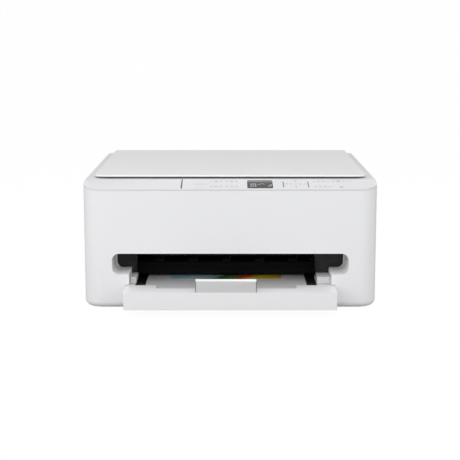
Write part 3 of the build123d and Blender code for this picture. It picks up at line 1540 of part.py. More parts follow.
def make_document_lid():
    """Flat cover over the glass with round front corners and a rounded hinge edge."""
    with BuildPart() as document_lid:
        depth = lid_axis_y - behind(lid_front)
        with BuildSketch(Plane.XY.offset(lid_low)) as plan:
            with Locations((0, behind(lid_front) + depth / 2)):
                Rectangle(lid_width, depth)
            fillet(plan.vertices().sort_by(Axis.Y)[:2], lid_corner)
        extrude(plan.sketch, amount=lid_skin)
        rod_x((-lid_width / 2, lid_width / 2), lid_axis_y, lid_axis_z, lid_skin / 2)
        top = document_lid.faces().sort_by(Axis.Z)[-1]
        rim = top.edges().filter_by(lambda edge: edge.center().Y < lid_axis_y - over)
        fillet(rim, lid_edge_round)
        for hand in (-1, 1):
            notch = lid_knuckle_width / 2 + fit_gap
            centre = hand * lid_knuckle_x
            x = (centre - notch, centre + notch)
            y = (lid_axis_y - lid_notch_depth, back)
            slab(x, y, (lid_low - over, machine_height + over), Mode.SUBTRACT)
            bore = notch + lid_pin_reach
            hole = (centre - bore, centre + bore)
            rod_x(hole, lid_axis_y, lid_axis_z, lid_pin_radius + running_gap, Mode.SUBTRACT)
    document_lid.part.label = "document_lid"
    export_step(document_lid.part, "parts/document_lid.step")


def make_document_pad():
    """White foam pad under the lid that presses the page onto the glass."""
    half = window_width / 2 - pad_margin
    with BuildPart() as document_pad:
        y = (behind(window_front + pad_margin), behind(window_front + window_depth - pad_margin))
        slab((-half, half), y, (rim_height - frame_skin + seam_gap, lid_low))
    document_pad.part.label = "document_pad"
    export_step(document_pad.part, "parts/document_pad.step")


make_main_cover()
make_slot_liner()
make_bottom_case()
make_rubber_feet()
make_rear_panel()
make_rear_access_cover()
make_power_inlet()
make_usb_port()
make_output_surround()
make_frame_plate("frame_left", -1)
make_frame_plate("frame_right", 1)
make_platen()
make_cap_station()
make_carriage_rail()
make_belt()
make_pulley("idler_pulley", -1)
make_pulley("drive_pulley", 1)
make_motors()
make_rear_guide()
make_boards()
make_gear_train()
make_rollers()
make_pickup()
make_carriage()
make_cassette_base()
make_cassette_front()
make_output_plate()
make_output_flap()
make_printed_sheet()
make_guide("guide_left", -1)
make_guide("guide_right", 1)
make_guide_pinion()
make_scanner_top_frame()
make_scanner_housing()
make_scanner_glass()
make_scan_carriage()
make_panel_lenses()
make_keys()
make_document_lid()
make_document_pad()
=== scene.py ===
"""Looks of a white desktop inkjet printer with a flatbed scanner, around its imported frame."""
from __future__ import annotations

import json
import logging
import math
from dataclasses import dataclass, field
from enum import Enum
from typing import Callable, Iterable, Sequence

import bmesh
import bpy
from mathutils import Matrix, Vector

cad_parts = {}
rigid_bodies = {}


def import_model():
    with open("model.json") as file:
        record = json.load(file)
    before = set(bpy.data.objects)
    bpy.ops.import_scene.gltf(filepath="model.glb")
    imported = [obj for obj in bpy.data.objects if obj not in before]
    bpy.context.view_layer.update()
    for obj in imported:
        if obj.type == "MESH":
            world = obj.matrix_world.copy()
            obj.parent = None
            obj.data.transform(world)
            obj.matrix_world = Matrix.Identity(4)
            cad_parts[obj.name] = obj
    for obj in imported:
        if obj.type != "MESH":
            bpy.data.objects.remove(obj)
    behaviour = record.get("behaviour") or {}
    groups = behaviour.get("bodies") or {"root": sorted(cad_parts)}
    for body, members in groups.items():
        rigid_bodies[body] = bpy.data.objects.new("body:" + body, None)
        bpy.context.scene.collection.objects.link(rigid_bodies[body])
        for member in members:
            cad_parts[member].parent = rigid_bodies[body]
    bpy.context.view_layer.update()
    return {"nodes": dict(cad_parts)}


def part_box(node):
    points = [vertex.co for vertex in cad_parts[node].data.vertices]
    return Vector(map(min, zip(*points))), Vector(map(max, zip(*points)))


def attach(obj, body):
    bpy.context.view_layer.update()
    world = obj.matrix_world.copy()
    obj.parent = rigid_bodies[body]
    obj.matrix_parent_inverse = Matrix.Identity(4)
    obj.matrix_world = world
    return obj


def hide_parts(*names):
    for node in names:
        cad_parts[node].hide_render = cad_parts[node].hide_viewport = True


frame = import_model()
log = logging.getLogger("printer")

MM = 0.001
Colour = tuple[float, float, float]
Point2 = tuple[float, float]
Path = tuple[Point2, ...]
Piece = bpy.types.Object
Socket = bpy.types.NodeSocket


def grey(level: int) -> Colour:
    """Turn a display grey level from 0 to 255 into a linear colour."""
    value = ((level / 255 + 0.055) / 1.055) ** 2.4
    return (value, value, value)


class Group(Enum):
    """Shader node groups that several finishes share."""

    GRAIN = "moulded_grain"
    HANDLING = "handling_marks"
    BRUSHING = "drawn_metal"


class Wiring:
    """Adds nodes to one node tree and feeds their sockets."""

    def __init__(self, tree: bpy.types.NodeTree) -> None:
        """Work on a tree.

        Args:
            tree: the shader or geometry tree that takes the nodes.
        """
        self.tree = tree
        self.nodes = tree.nodes
        self.links = tree.links

    def feed(self, node: bpy.types.Node, feeds: dict[str | int, object]) -> None:
        """Fill a node's inputs.

        Args:
            node: the node that is fed.
            feeds: a socket to link or a plain value for each input, by its name or number.
        """
        for key, value in feeds.items():
            if isinstance(value, Socket):
                self.links.new(value, node.inputs[key])
            else:
                node.inputs[key].default_value = value

    def add(
        self, kind: str, feeds: dict[str | int, object] | None = None, **settings: object
    ) -> bpy.types.Node:
        """Add one node.

        Args:
            kind: the node's type.
            feeds: what its inputs get.
            settings: the node's own properties.

        Returns:
            The new node.
        """
        node = self.nodes.new(kind)
        for key, value in settings.items():
            setattr(node, key, value)
        self.feed(node, feeds or {})
        return node

    def math(self, operation: str, *terms: float | Socket) -> Socket:
        """Add one named operation on numbers, its terms in order, and give the result's socket."""
        return self.add("ShaderNodeMath", dict(enumerate(terms)), operation=operation).outputs[0]


class ShaderGroups:
    """Builds each shared shader node group once and hands it out by its name."""

    def __init__(self) -> None:
        """Start with no group built."""
        self.built: dict[Group, bpy.types.NodeTree] = {}
        self.makers: dict[Group, Callable[[], bpy.types.NodeTree]] = {
            Group.GRAIN: self.grain,
            Group.HANDLING: self.handling,
            Group.BRUSHING: self.brushing,
        }

    def get(self, name: Group) -> bpy.types.NodeTree:
        """Give a group, building it the first time.

        Args:
            name: which shared effect is wanted.

        Returns:
            The shader node tree of that effect.
        """
        if name not in self.built:
            self.built[name] = self.makers[name]()
        return self.built[name]

    @staticmethod
    def start(name: Group, inputs: dict[str, float], *outputs: str) -> tuple:
        """Open an empty group that takes Object coordinates.

        Args:
            name: the group's name.
            inputs: its number inputs with their defaults.
            outputs: its number outputs.

        Returns:
            The group's wiring, the outputs of its input node, and its output node.
        """
        tree = bpy.data.node_groups.new(name.value, "ShaderNodeTree")
        face = tree.interface
        face.new_socket("Vector", in_out="INPUT", socket_type="NodeSocketVector")
        for label, value in inputs.items():
            made = face.new_socket(label, in_out="INPUT", socket_type="NodeSocketFloat")
            made.default_value = value
        for label in outputs:
            face.new_socket(label, in_out="OUTPUT", socket_type="NodeSocketFloat")
        wiring = Wiring(tree)
        return wiring, wiring.add("NodeGroupInput").outputs, wiring.add("NodeGroupOutput")

    def grain(self) -> bpy.types.NodeTree:
        """Build the fine spark-eroded grain of a moulded surface, as a height and a faint shade.

        Returns:
            The group's tree.
        """
        inputs, pit_share = {"Pitch": 0.5, "Shade": 0.02}, 0.6
        wiring, source, sink = self.start(Group.GRAIN, inputs, "Height", "Tone")
        scale = wiring.math("DIVIDE", 1 / MM, source["Pitch"])
        place = {"Vector": source["Vector"], "Scale": scale}
        pits = wiring.add("ShaderNodeTexVoronoi", place, feature="SMOOTH_F1")
        fine = wiring.add("ShaderNodeTexNoise", {**place, "Detail": 3.0}).outputs["Fac"]
        low = wiring.math("SUBTRACT", 1.0, source["Shade"])
        spread = wiring.add("ShaderNodeMapRange", {"Value": fine, "To Min": low})
        height = wiring.math("MULTIPLY_ADD", pits.outputs["Distance"], pit_share, fine)
        wiring.feed(sink, {"Height": height, "Tone": spread.outputs["Result"]})
        return wiring.tree

    def handling(self) -> bpy.types.NodeTree:
        """Build the slow changes of gloss and tone that handling leaves on a surface.

        Returns:
            The group's tree.
        """
        inputs = {"Roughness": 0.4, "Swing": 0.06, "Dirt": 0.03}
        wiring, source, sink = self.start(Group.HANDLING, inputs, "Roughness", "Tone")
        look = {"Vector": source["Vector"], "Scale": 14.0, "Detail": 4.0, "Roughness": 0.6}
        slow = wiring.add("ShaderNodeTexNoise", look)
        middle = 0.5
        centred = wiring.math("SUBTRACT", slow.outputs["Fac"], middle)
        gloss = wiring.math("MULTIPLY_ADD", centred, source["Swing"], source["Roughness"])
        tone = wiring.math("MULTIPLY_ADD", centred, source["Dirt"], 1.0)
        wiring.feed(sink, {"Roughness": gloss, "Tone": tone})
        return wiring.tree

    def brushing(self) -> bpy.types.NodeTree:
        """Build the long fine lines of drawn or rolled metal that run along X.

        Returns:
            The group's tree.
        """
        inputs = {"Fineness": 900.0}
        wiring, source, sink = self.start(Group.BRUSHING, inputs, "Height", "Tone")
        look = {"Vector": source["Vector"], "Scale": (0.02, 1.0, 1.0)}
        stretch = wiring.add("ShaderNodeMapping", look)
        look = {"Vector": stretch.outputs["Vector"], "Scale": source["Fineness"], "Detail": 2.0}
        lines = wiring.add("ShaderNodeTexNoise", look).outputs["Fac"]
        spread = wiring.add("ShaderNodeMapRange", {"Value": lines, "To Min": 0.88, "To Max": 1.06})
        wiring.feed(sink, {"Height": lines, "Tone": spread.outputs["Result"]})
        return wiring.tree


GROUPS = ShaderGroups()


class MaterialMaker(Wiring):
    """One material's node tree, with the calls that every finish needs."""

    def __init__(self, name: str) -> None:
        """Open an empty material.

        Args:
            name: the finish's name.
        """
        self.material = bpy.data.materials.new(name)
        self.material.use_nodes = True
        super().__init__(self.material.node_tree)
        self.shader = self.nodes["Principled BSDF"]
        self.place = self.add("ShaderNodeTexCoord").outputs["Object"]

    def group(self, name: Group, **values: float) -> bpy.types.NodeOutputs:
        """Place a shared effect on Object coordinates, with its other inputs by name."""
        tree = GROUPS.get(name)
        return self.add("ShaderNodeGroup", {"Vector": self.place, **values}, node_tree=tree).outputs

    def handled(self, roughness: float, swing: float, dirt: float) -> Socket:
        """Add the marks of handling and send their gloss to the roughness.

        Args:
            roughness: the middle roughness.
            swing: how far it changes.
            dirt: how far the tone changes.

        Returns:
            The mask of tone.
        """
        marks = self.group(Group.HANDLING, Roughness=roughness, Swing=swing, Dirt=dirt)
        self.feed(self.shader, {"Roughness": marks["Roughness"]})
        return marks["Tone"]

    def ramp(
        self,
        value: Socket,
        start: float,
        span: float,
        colours: Sequence[Colour],
        stops: Sequence[float],
        blend: str = "LINEAR",
    ) -> Socket:
        """Turn a place into a colour.

        Args:
            value: the place's socket, in metres.
            start: the place of the ramp's start.
            span: the ramp's length.
            colours: its colours.
            stops: the share of the span at which each colour is reached.
            blend: how it goes from one colour to the next.

        Returns:
            The colour's socket.
        """
        feeds = {"Value": value, "From Min": start, "From Max": start + span}
        reach = self.add("ShaderNodeMapRange", feeds)
        node = self.add("ShaderNodeValToRGB", {"Fac": reach.outputs["Result"]})
        node.color_ramp.interpolation = blend
        steps = node.color_ramp.elements
        while len(steps) < len(stops):
            steps.new(0.5)
        for step, stop, colour in zip(steps, stops, colours):
            step.position = stop
            step.color = (*colour, 1)
        return node.outputs["Color"]

    def scaled(self, colour: Colour | Socket, *tones: Socket) -> None:
        """Multiply a colour by tone masks and send it to the base colour.

        Args:
            colour: a fixed colour or a colour socket.
            tones: masks near one.
        """
        for tone in tones:
            feeds = {0: colour, "Scale": tone}
            colour = self.add("ShaderNodeVectorMath", feeds, operation="SCALE").outputs[0]
        self.feed(self.shader, {"Base Color": colour})

    def bump(self, height: Socket, depth: float, strength: float = 0.6) -> None:
        """Send a height to the normal, one unit of it so many millimetres deep."""
        feeds = {"Distance": depth * MM, "Strength": strength, "Height": height}
        self.feed(self.shader, {"Normal": self.add("ShaderNodeBump", feeds).outputs["Normal"]})

    def constant(self, **values: float) -> None:
        """Set plain values on the shader's own sockets, spaces in names written as underscores."""
        for key, value in values.items():
            self.shader.inputs[key.replace("_", " ")].default_value = value


@dataclass(frozen=True)
class Plastic:
    """Moulded plastic or rubber: a colour under a fine grain."""

    name: str
    colour: Colour
    roughness: float = 0.42
    pitch: float = 0.45
    depth: float = 0.02
    swing: float = 0.06
    dirt: float = 0.025
    specular: float = 0.45
    coat: float = 0.0
    coat_roughness: float = 0.08
    shade: float = 0.03

    def build(self) -> bpy.types.Material:
        """Make the material.

        Returns:
            The new material.
        """
        maker = MaterialMaker(self.name)
        grain = maker.group(Group.GRAIN, Pitch=self.pitch, Shade=self.shade)
        tone = maker.handled(self.roughness, self.swing, self.dirt)
        maker.scaled(self.colour, grain["Tone"], tone)
        maker.bump(grain["Height"], self.depth)
        maker.constant(Specular_IOR_Level=self.specular)
        maker.constant(Coat_Weight=self.coat, Coat_Roughness=self.coat_roughness)
        return maker.material


@dataclass(frozen=True)
class Ink(Plastic):
    """Matt printed ink."""

    roughness: float = 0.5
    pitch: float = 0.25


@dataclass(frozen=True)
class Rubber(Plastic):
    """Soft black rubber with a coarse grain."""

    pitch: float = 0.5
    depth: float = 0.05
    specular: float = 0.3


@dataclass(frozen=True)
class Metal:
    """Drawn, rolled or turned metal with fine lines."""

    name: str
    colour: Colour
    roughness: float = 0.34
    fineness: float = 900.0
    depth: float = 0.01
    swing: float = 0.12
    dirt: float = 0.08

    def build(self) -> bpy.types.Material:
        """Make the material.

        Returns:
            The new material.
        """
        maker = MaterialMaker(self.name)
        lines = maker.group(Group.BRUSHING, Fineness=self.fineness)
        tone = maker.handled(self.roughness, self.swing, self.dirt)
        maker.scaled(self.colour, lines["Tone"], tone)
        maker.bump(lines["Height"], self.depth)
        maker.constant(Metallic=1.0)
        return maker.material


@dataclass(frozen=True)
class ClearGlass:
    """Flat clear glass with a slight green body."""

    name: str
    colour: Colour
    roughness: float = 0.02
    marks: float = 0.02
    bending: float = 1.5

    def build(self) -> bpy.types.Material:
        """Make the material.

        Returns:
            The new material.
        """
        maker = MaterialMaker(self.name)
        maker.scaled(self.colour, maker.handled(self.roughness, self.marks, self.marks))
        maker.constant(Transmission_Weight=1.0, IOR=self.bending)
        return maker.material


@dataclass(frozen=True)
class Screen:
    """Smoked display window, lighter towards its lower edge, under a clear gloss."""

    name: str
    colours: tuple[Colour, Colour]
    start: float
    span: float
    roughness: float = 0.12
    marks: float = 0.05
    coat: float = 0.6
    coat_roughness: float = 0.05

    def build(self) -> bpy.types.Material:
        """Make the material.

        Returns:
            The new material.
        """
        maker = MaterialMaker(self.name)
        split = maker.add("ShaderNodeSeparateXYZ", {0: maker.place})
        shade = maker.ramp(split.outputs["Y"], self.start, self.span, self.colours, (0.0, 1.0))
        maker.scaled(shade, maker.handled(self.roughness, self.marks, self.marks))
        maker.constant(Coat_Weight=self.coat, Coat_Roughness=self.coat_roughness)
        return maker.material


@dataclass(frozen=True)
class WavePrint:
    """Glossy sheet printed with soft wavy colour bands that cross it from side to side."""

    name: str
    left: float
    width: float
    colours: tuple[Colour, ...]
    stops: tuple[float, ...]
    lean: float = -0.35
    sway: float = 0.05
    shift: float = 0.063
    sway_scale: float = 26.0
    speckle_pitch: float = 1.6
    speckle_shade: float = 0.35
    roughness: float = 0.22
    swing: float = 0.04
    dirt: float = 0.1
    coat: float = 0.3
    coat_roughness: float = 0.12

    def build(self) -> bpy.types.Material:
        """Make the material.

        Returns:
            The new material.
        """
        maker = MaterialMaker(self.name)
        look = {"Scale": self.sway_scale, "Detail": 2.0, "Vector": maker.place}
        sway = maker.add("ShaderNodeTexNoise", look)
        split = maker.add("ShaderNodeSeparateXYZ", {0: maker.place})
        lean = maker.math("MULTIPLY_ADD", split.outputs["Y"], self.lean, split.outputs["X"])
        wavy = maker.math("MULTIPLY_ADD", sway.outputs["Fac"], self.sway, lean)
        start = self.left + self.shift
        print_colour = maker.ramp(wavy, start, self.width, self.colours, self.stops, "EASE")
        grain = maker.group(Group.GRAIN, Pitch=self.speckle_pitch, Shade=self.speckle_shade)
        tone = maker.handled(self.roughness, self.swing, self.dirt)
        maker.scaled(print_colour, grain["Tone"], tone)
        maker.constant(Coat_Weight=self.coat, Coat_Roughness=self.coat_roughness)
        return maker.material


def finishes() -> dict[str, bpy.types.Material]:
    """Build every finish once.

    Returns:
        The materials by name.
    """
    sheet_low, sheet_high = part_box("printed_sheet")
    panel_low, panel_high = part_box("panel_lenses")
    palette = [
        Plastic("white_shell", (0.795, 0.797, 0.808)),
        Plastic("cassette_white", (0.795, 0.797, 0.808), roughness=0.4),
        # The sloping panel rim's white is the shell's white made darker as painted shade; the rim
        # is the same plastic as the lid.
        Plastic("panel_white", (0.72, 0.722, 0.733)),
        # The slot liner's white is the shell's white made lighter, as painted light on the shaded
        # ledge inside the slot.
        Plastic("liner_white", (0.9, 0.9, 0.905)),
        Plastic("white_key", (0.715, 0.717, 0.727), roughness=0.36, pitch=0.3),
        Plastic("plate_grey", (0.56, 0.56, 0.565), roughness=0.46, pitch=0.35),
        # The stop flap's upright face is the flap's white made grey, as painted shade on the face
        # that the lamps light less.
        Plastic("flap_grey", (0.55, 0.55, 0.555), pitch=0.35),
        # A dark grey for the painted shadow line round the stop flap's face.
        Plastic("plate_shade", (0.12, 0.12, 0.122), roughness=0.5, pitch=0.35, specular=0.2),
        Plastic("grey_base", (0.12, 0.12, 0.125), roughness=0.5),
        Plastic("black_inner", (0.009, 0.009, 0.0095), pitch=0.6, depth=0.03, specular=0.35),
        # A darker black for the deep faces of the slot and the platen: painted shade of the recess,
        # on the same black plastic.
        Plastic("black_deep", (0.0035, 0.0035, 0.0037), roughness=0.6, pitch=0.6, specular=0.08),
        Plastic("gear_plastic", (0.62, 0.61, 0.56), roughness=0.4),
        Rubber("belt", (0.02, 0.02, 0.02), roughness=0.7, pitch=0.8),
        Rubber("rubber", (0.035, 0.035, 0.036), roughness=0.75, pitch=0.7, depth=0.06),
        Rubber("roller_rubber", (0.03, 0.03, 0.031), roughness=0.68),
        Plastic("circuit_board", (0.015, 0.09, 0.04), roughness=0.3, pitch=1.2, coat=0.3),
        Plastic("foam", (0.8, 0.8, 0.8), roughness=0.85, pitch=1.0, depth=0.1, specular=0.2),
        Ink("legend_grey", grey(122)),
        Ink("legend_pale", grey(184)),
        Ink("legend_red", (0.62, 0.08, 0.04)),
        Ink("legend_teal", (0.1, 0.42, 0.42)),
        Ink("legend_amber", (0.55, 0.45, 0.2)),
        Ink("screen_marks", (0.62, 0.64, 0.66), roughness=0.3),
        Plastic("status_bar", grey(92), roughness=0.22, pitch=0.3, coat=0.3),
        Metal("steel", (0.58, 0.59, 0.6)),
        Metal("dark_steel", (0.03, 0.03, 0.031), roughness=0.6),
        Metal("brass", (0.7, 0.5, 0.22), roughness=0.3),
        ClearGlass("clear_glass", (0.93, 0.97, 0.95)),
        Screen("dark_lens", (grey(48), grey(84)), panel_low.y, panel_high.y - panel_low.y),
        WavePrint(
            "print_paper",
            sheet_low.x,
            sheet_high.x - sheet_low.x,
            (
                (0.52, 0.78, 0.95),
                (0.66, 0.85, 0.95),
                (0.45, 0.68, 0.62),
                (0.06, 0.20, 0.06),
                (0.14, 0.30, 0.05),
                (0.85, 0.09, 0.04),
                (0.95, 0.74, 0.06),
                (0.95, 0.60, 0.05),
            ),
            (0.0, 0.22, 0.36, 0.44, 0.58, 0.68, 0.8, 0.95),
        ),
    ]
    return {finish.name: finish.build() for finish in palette}


MATERIALS = finishes()


def corners(node: str) -> list[Vector]:
    """Give the vertices of a frame node."""
    return [vertex.co for vertex in frame["nodes"][node].data.vertices]


def own(piece: Piece, body: str, finish: str, slot: str | None = None) -> Piece:
    """Give a new piece its finish and the body that it rides on.

    Args:
        piece: the finished object.
        body: the frame's body that carries it.
        finish: a material's name.
        slot: not used.

    Returns:
        The same piece.
    """
    if not piece.data.materials:
        piece.data.materials.append(MATERIALS[finish])
    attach(piece, body)
    log.info("%s rides on %s", piece.name, body)
    return piece


def to_object(name: str, mesh: bpy.types.Mesh) -> Piece:
    """Link a mesh into the scene as an object at the origin.

    Args:
        name: the object's name.
        mesh: its mesh.

    Returns:
        The new object.
    """
    piece = bpy.data.objects.new(name, mesh)
    bpy.context.scene.collection.objects.link(piece)
    return piece


def settle(piece: Piece) -> Piece:
    """Turn an object's modifiers into plain mesh.

    Args:
        piece: an object with live modifiers.

    Returns:
        The same object with its final mesh.
    """
    graph = bpy.context.evaluated_depsgraph_get()
    graph.update()
    mesh = bpy.data.meshes.new_from_object(piece.evaluated_get(graph))
    piece.modifiers.clear()
    old = piece.data
    piece.data = mesh
    mesh.name = piece.name
    bpy.data.meshes.remove(old)
    return piece


def smooth_copy(node: str, crease: float = 30.0, join: float = 0.002 * MM) -> Piece:
    """Copy a frame node with its loose triangles joined and its round faces shaded smooth.

    Args:
        node: the frame node's name.
        crease: the angle in degrees from which an edge stays sharp.
        join: the distance within which vertices are one.

    Returns:
        The new object, which stands for the node.
    """
    mesh = frame["nodes"][node].data.copy()
    mesh.materials.clear()
    work = bmesh.new()
    work.from_mesh(mesh)
    bmesh.ops.remove_doubles(work, verts=work.verts, dist=join)
    work.to_mesh(mesh)
    work.free()
    mesh.shade_smooth()
    mesh.set_sharp_from_angle(angle=math.radians(crease))
    piece = to_object(f"{node}_skin", mesh)
    weights = piece.modifiers.new("weights", "WEIGHTED_NORMAL")
    weights.keep_sharp = True
    settle(piece)
    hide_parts(node)
    return piece


def skin(node: str, *look: str, crease: float = 30.0) -> None:
    """Dress a smooth copy of a frame node in its body and its finish."""
    own(smooth_copy(node, crease), *look)


def painted(node: str, finishes: Sequence[str], choose: Callable[..., int]) -> Piece:
    """Copy a frame node and share several finishes out over its faces.

    Args:
        node: the frame node's name.
        finishes: the materials' names.
        choose: gives the number of a face's finish.

    Returns:
        The new object.
    """
    piece = smooth_copy(node)
    for finish in finishes:
        piece.data.materials.append(MATERIALS[finish])
    for face in piece.data.polygons:
        face.material_index = int(choose(face))
    return piece


def dress(node: str, finish: str) -> None:
    """Give a frame node that keeps its own mesh a finish.

    Args:
        node: the frame node's name.
        finish: a material's name.
    """
    materials = frame["nodes"][node].data.materials
    materials.clear()
    materials.append(MATERIALS[finish])
    log.info("%s dressed in %s", node, finish)


class Decal:
    """Thin flat marks, drawn in millimetres on a plane and given a small thickness."""

    def __init__(self, thickness: float = 0.04) -> None:
        """Start an empty drawing whose marks will stand proud by a thickness in millimetres."""
        self.work = bmesh.new()
        self.thickness = thickness

    def polygon(self, points: Iterable[Point2]) -> None:
        """Add one filled outline."""
        self.work.faces.new([self.work.verts.new((x, y, 0)) for x, y in points])

    def disc(self, centre: Point2, radius: float, sides: int = 20) -> None:
        """Add a filled circle."""
        self.polygon(self.arc(centre, radius, 0, 360, sides)[:-1])

    @staticmethod
    def arc(centre: Point2, radius: float, start: float, end: float, steps: int) -> list[Point2]:
        """Give the points of an arc between two angles in degrees, ends included."""
        turns = [math.radians(start + (end - start) * step / steps) for step in range(steps + 1)]
        return [(centre[0] + radius * math.cos(a), centre[1] + radius * math.sin(a)) for a in turns]

    def ribbon(self, points: Sequence[Point2], width: float, closed: bool = False) -> None:
        """Add a line of even width along points, with mitred corners.

        Args:
            points: the middle of the line.
            width: its width.
            closed: whether the line returns to its first point.
        """
        count, sharpest = len(points), 0.3
        sides = []
        for place in range(count):
            here = Vector(points[place])
            before = Vector(points[place - 1]) if closed or place else None
            after = Vector(points[(place + 1) % count]) if closed or place < count - 1 else None
            into = (after - here if before is None else here - before).normalized()
            out = into if after is None else (after - here).normalized()
            across = Vector((-(into.y + out.y), into.x + out.x)).normalized()
            reach = across * (width / 2 / max(sharpest, across.dot(Vector((-into.y, into.x)))))
            sides.append([self.work.verts.new((*end, 0)) for end in (here + reach, here - reach)])
        for place in range(count if closed else count - 1):
            left, right = sides[place]
            next_left, next_right = sides[(place + 1) % count]
            self.work.faces.new((left, right, next_right, next_left))

    def finish(self, name: str, place: Matrix) -> Piece:
        """Thicken the drawing and put it on its plane.

        Args:
            name: the new object's name.
            place: the plane's matrix, in metres.

        Returns:
            The new object, with its place in its mesh.
        """
        flat = list(self.work.faces)
        risen = bmesh.ops.extrude_face_region(self.work, geom=flat, use_keep_orig=True)["geom"]
        lifted = [item for item in risen if isinstance(item, bmesh.types.BMVert)]
        bmesh.ops.translate(self.work, verts=lifted, vec=(0, 0, self.thickness))
        bmesh.ops.recalc_face_normals(self.work, faces=self.work.faces)
        bmesh.ops.transform(self.work, matrix=place @ Matrix.Scale(MM, 4), verts=self.work.verts)
        mesh = bpy.data.meshes.new(name)
        self.work.to_mesh(mesh)
        self.work.free()
        return to_object(name, mesh)


class PatternTree:
    """Geometry Nodes trees that repeat a small tool along a line or on points."""

    def __init__(self, name: str, on_points: bool) -> None:
        """Build the tree.

        Args:
            name: the tree's name.
            on_points: whether the tools stand on the object's own points, or on a line.
        """
        self.tree = bpy.data.node_groups.new(name, "GeometryNodeTree")
        face = self.tree.interface
        self.ids: dict[str, str] = {}
        face.new_socket("Geometry", in_out="INPUT", socket_type="NodeSocketGeometry")
        face.new_socket("Geometry", in_out="OUTPUT", socket_type="NodeSocketGeometry")
        for label, kind in (
            ("Tool", "NodeSocketObject"),
            ("Count", "NodeSocketInt"),
            ("Start", "NodeSocketVector"),
            ("Step", "NodeSocketVector"),
            ("Turn", "NodeSocketVector"),
            ("Seed", "NodeSocketInt"),
            ("Finish", "NodeSocketMaterial"),
        ):
            self.ids[label] = face.new_socket(label, in_out="INPUT", socket_type=kind).identifier
        wiring = Wiring(self.tree)
        source = wiring.add("NodeGroupInput").outputs
        sink = wiring.add("NodeGroupOutput")
        tool = wiring.add("GeometryNodeObjectInfo", {"Object": source["Tool"]}).outputs["Geometry"]
        feeds = {1: source["Turn"], "Seed": source["Seed"]}
        spin = wiring.add("FunctionNodeRandomValue", feeds, data_type="FLOAT_VECTOR").outputs[0]
        if on_points:
            points = source["Geometry"]
        else:
            feeds = {"Start Location": source["Start"], "Offset": source["Step"]}
            feeds["Count"] = source["Count"]
            points = wiring.add("GeometryNodeMeshLine", feeds).outputs["Mesh"]
        feeds = {"Points": points, "Instance": tool, "Rotation": spin}
        places = wiring.add("GeometryNodeInstanceOnPoints", feeds).outputs["Instances"]
        real = wiring.add("GeometryNodeRealizeInstances", {"Geometry": places}).outputs["Geometry"]
        feeds = {"Geometry": real, "Material": source["Finish"]}
        paint = wiring.add("GeometryNodeSetMaterial", feeds).outputs["Geometry"]
        wiring.feed(sink, {"Geometry": paint})

    def run(
        self, name: str, points: Sequence[Vector], look: Sequence[str], **values: object
    ) -> Piece:
        """Run the tree on an object of bare points and keep the result as plain mesh.

        Args:
            name: the new object's name.
            points: the points that the tools stand on, or one point for a line.
            look: its body, its finish and, where it has one of its own, its slot.
            values: the tree's inputs, by name.

        Returns:
            The new object.
        """
        mesh = bpy.data.meshes.new(name)
        mesh.from_pydata([tuple(point) for point in points], [], [])
        piece = to_object(name, mesh)
        modifier = piece.modifiers.new("pattern", "NODES")
        modifier.node_group = self.tree
        values["Finish"] = MATERIALS[look[1]]
        for label, value in values.items():
            modifier[self.ids[label]] = value
        return own(settle(piece), *look)


ON_POINTS = PatternTree("tools_on_points", True)
ON_LINE = PatternTree("tools_on_line", False)


def make_tool(name: str, work: bmesh.types.BMesh, crease: float = 35.0) -> Piece:
    """Turn a small mesh into an object that a pattern repeats; it is deleted after use.

    Args:
        name: the object's name.
        work: the mesh, which is used up.
        crease: the angle in degrees from which an edge stays sharp.

    Returns:
        The new object.
    """
    mesh = bpy.data.meshes.new(name)
    work.to_mesh(mesh)
    work.free()
    mesh.shade_smooth()
    mesh.set_sharp_from_angle(angle=math.radians(crease))
    return to_object(name, mesh)


def soft_bar(size: Vector, bevel: float) -> bmesh.types.BMesh:
    """Make a bar with rounded edges, centred on the origin.

    Args:
        size: its full size.
        bevel: the radius of its edges.

    Returns:
        The new mesh.
    """
    work = bmesh.new()
    bmesh.ops.create_cube(work, size=1.0)
    bmesh.ops.scale(work, vec=size, verts=work.verts)
    bmesh.ops.bevel(work, geom=work.edges[:], offset=bevel, segments=2, profile=0.5, affect="EDGES")
    return work


@dataclass
class Layout:
    """Planes and places that several sub-assemblies share, in metres."""

    panel_depth: float = 43.5 * MM
    panel_drop: float = 7.3 * MM
    same: float = 0.01 * MM
    front: float = field(init=False)
    edge_height: float = field(init=False)
    slope: float = field(init=False)

    def __post_init__(self) -> None:
        """Read the body's front plane and the panel's front edge from the frame."""
        points = corners("scanner_top_frame")
        self.front = min(point.y for point in points)
        self.edge_height = max(point.z for point in points if point.y < self.front + self.same)
        self.slope = math.atan2(self.panel_drop, self.panel_depth)

    @property
    def normal(self) -> Vector:
        """Give the direction straight up from the panel."""
        return Vector((0, -math.sin(self.slope), math.cos(self.slope)))

    def on_panel(self, x: float, up: float, lift: float = 0.0) -> Matrix:
        """Give the matrix of a place on the sloping panel.

        Args:
            x: the place across, in millimetres.
            up: the distance up the slope from its front edge, in millimetres.
            lift: the height over the panel, in millimetres.

        Returns:
            A matrix whose X runs across and whose Y runs up the slope.
        """
        along = Vector((0, math.cos(self.slope), math.sin(self.slope)))
        start = Vector((x * MM, self.front, self.edge_height))
        origin = start + along * up * MM + self.normal * lift * MM
        return Matrix.Translation(origin) @ Matrix.Rotation(self.slope, 4, "X")

    def crown(self, node: str) -> Matrix:
        """Give the matrix of the middle of a panel piece's upper face.

        Args:
            node: a frame node that lies in the panel.

        Returns:
            A matrix on the piece's top, aligned with the panel.
        """
        points = corners(node)
        highest = max(point.dot(self.normal) for point in points)
        top = [point for point in points if point.dot(self.normal) > highest - self.same]
        middle = Vector([(min(p[i] for p in top) + max(p[i] for p in top)) / 2 for i in range(3)])
        return Matrix.Translation(middle) @ Matrix.Rotation(self.slope, 4, "X")


LAYOUT = Layout()


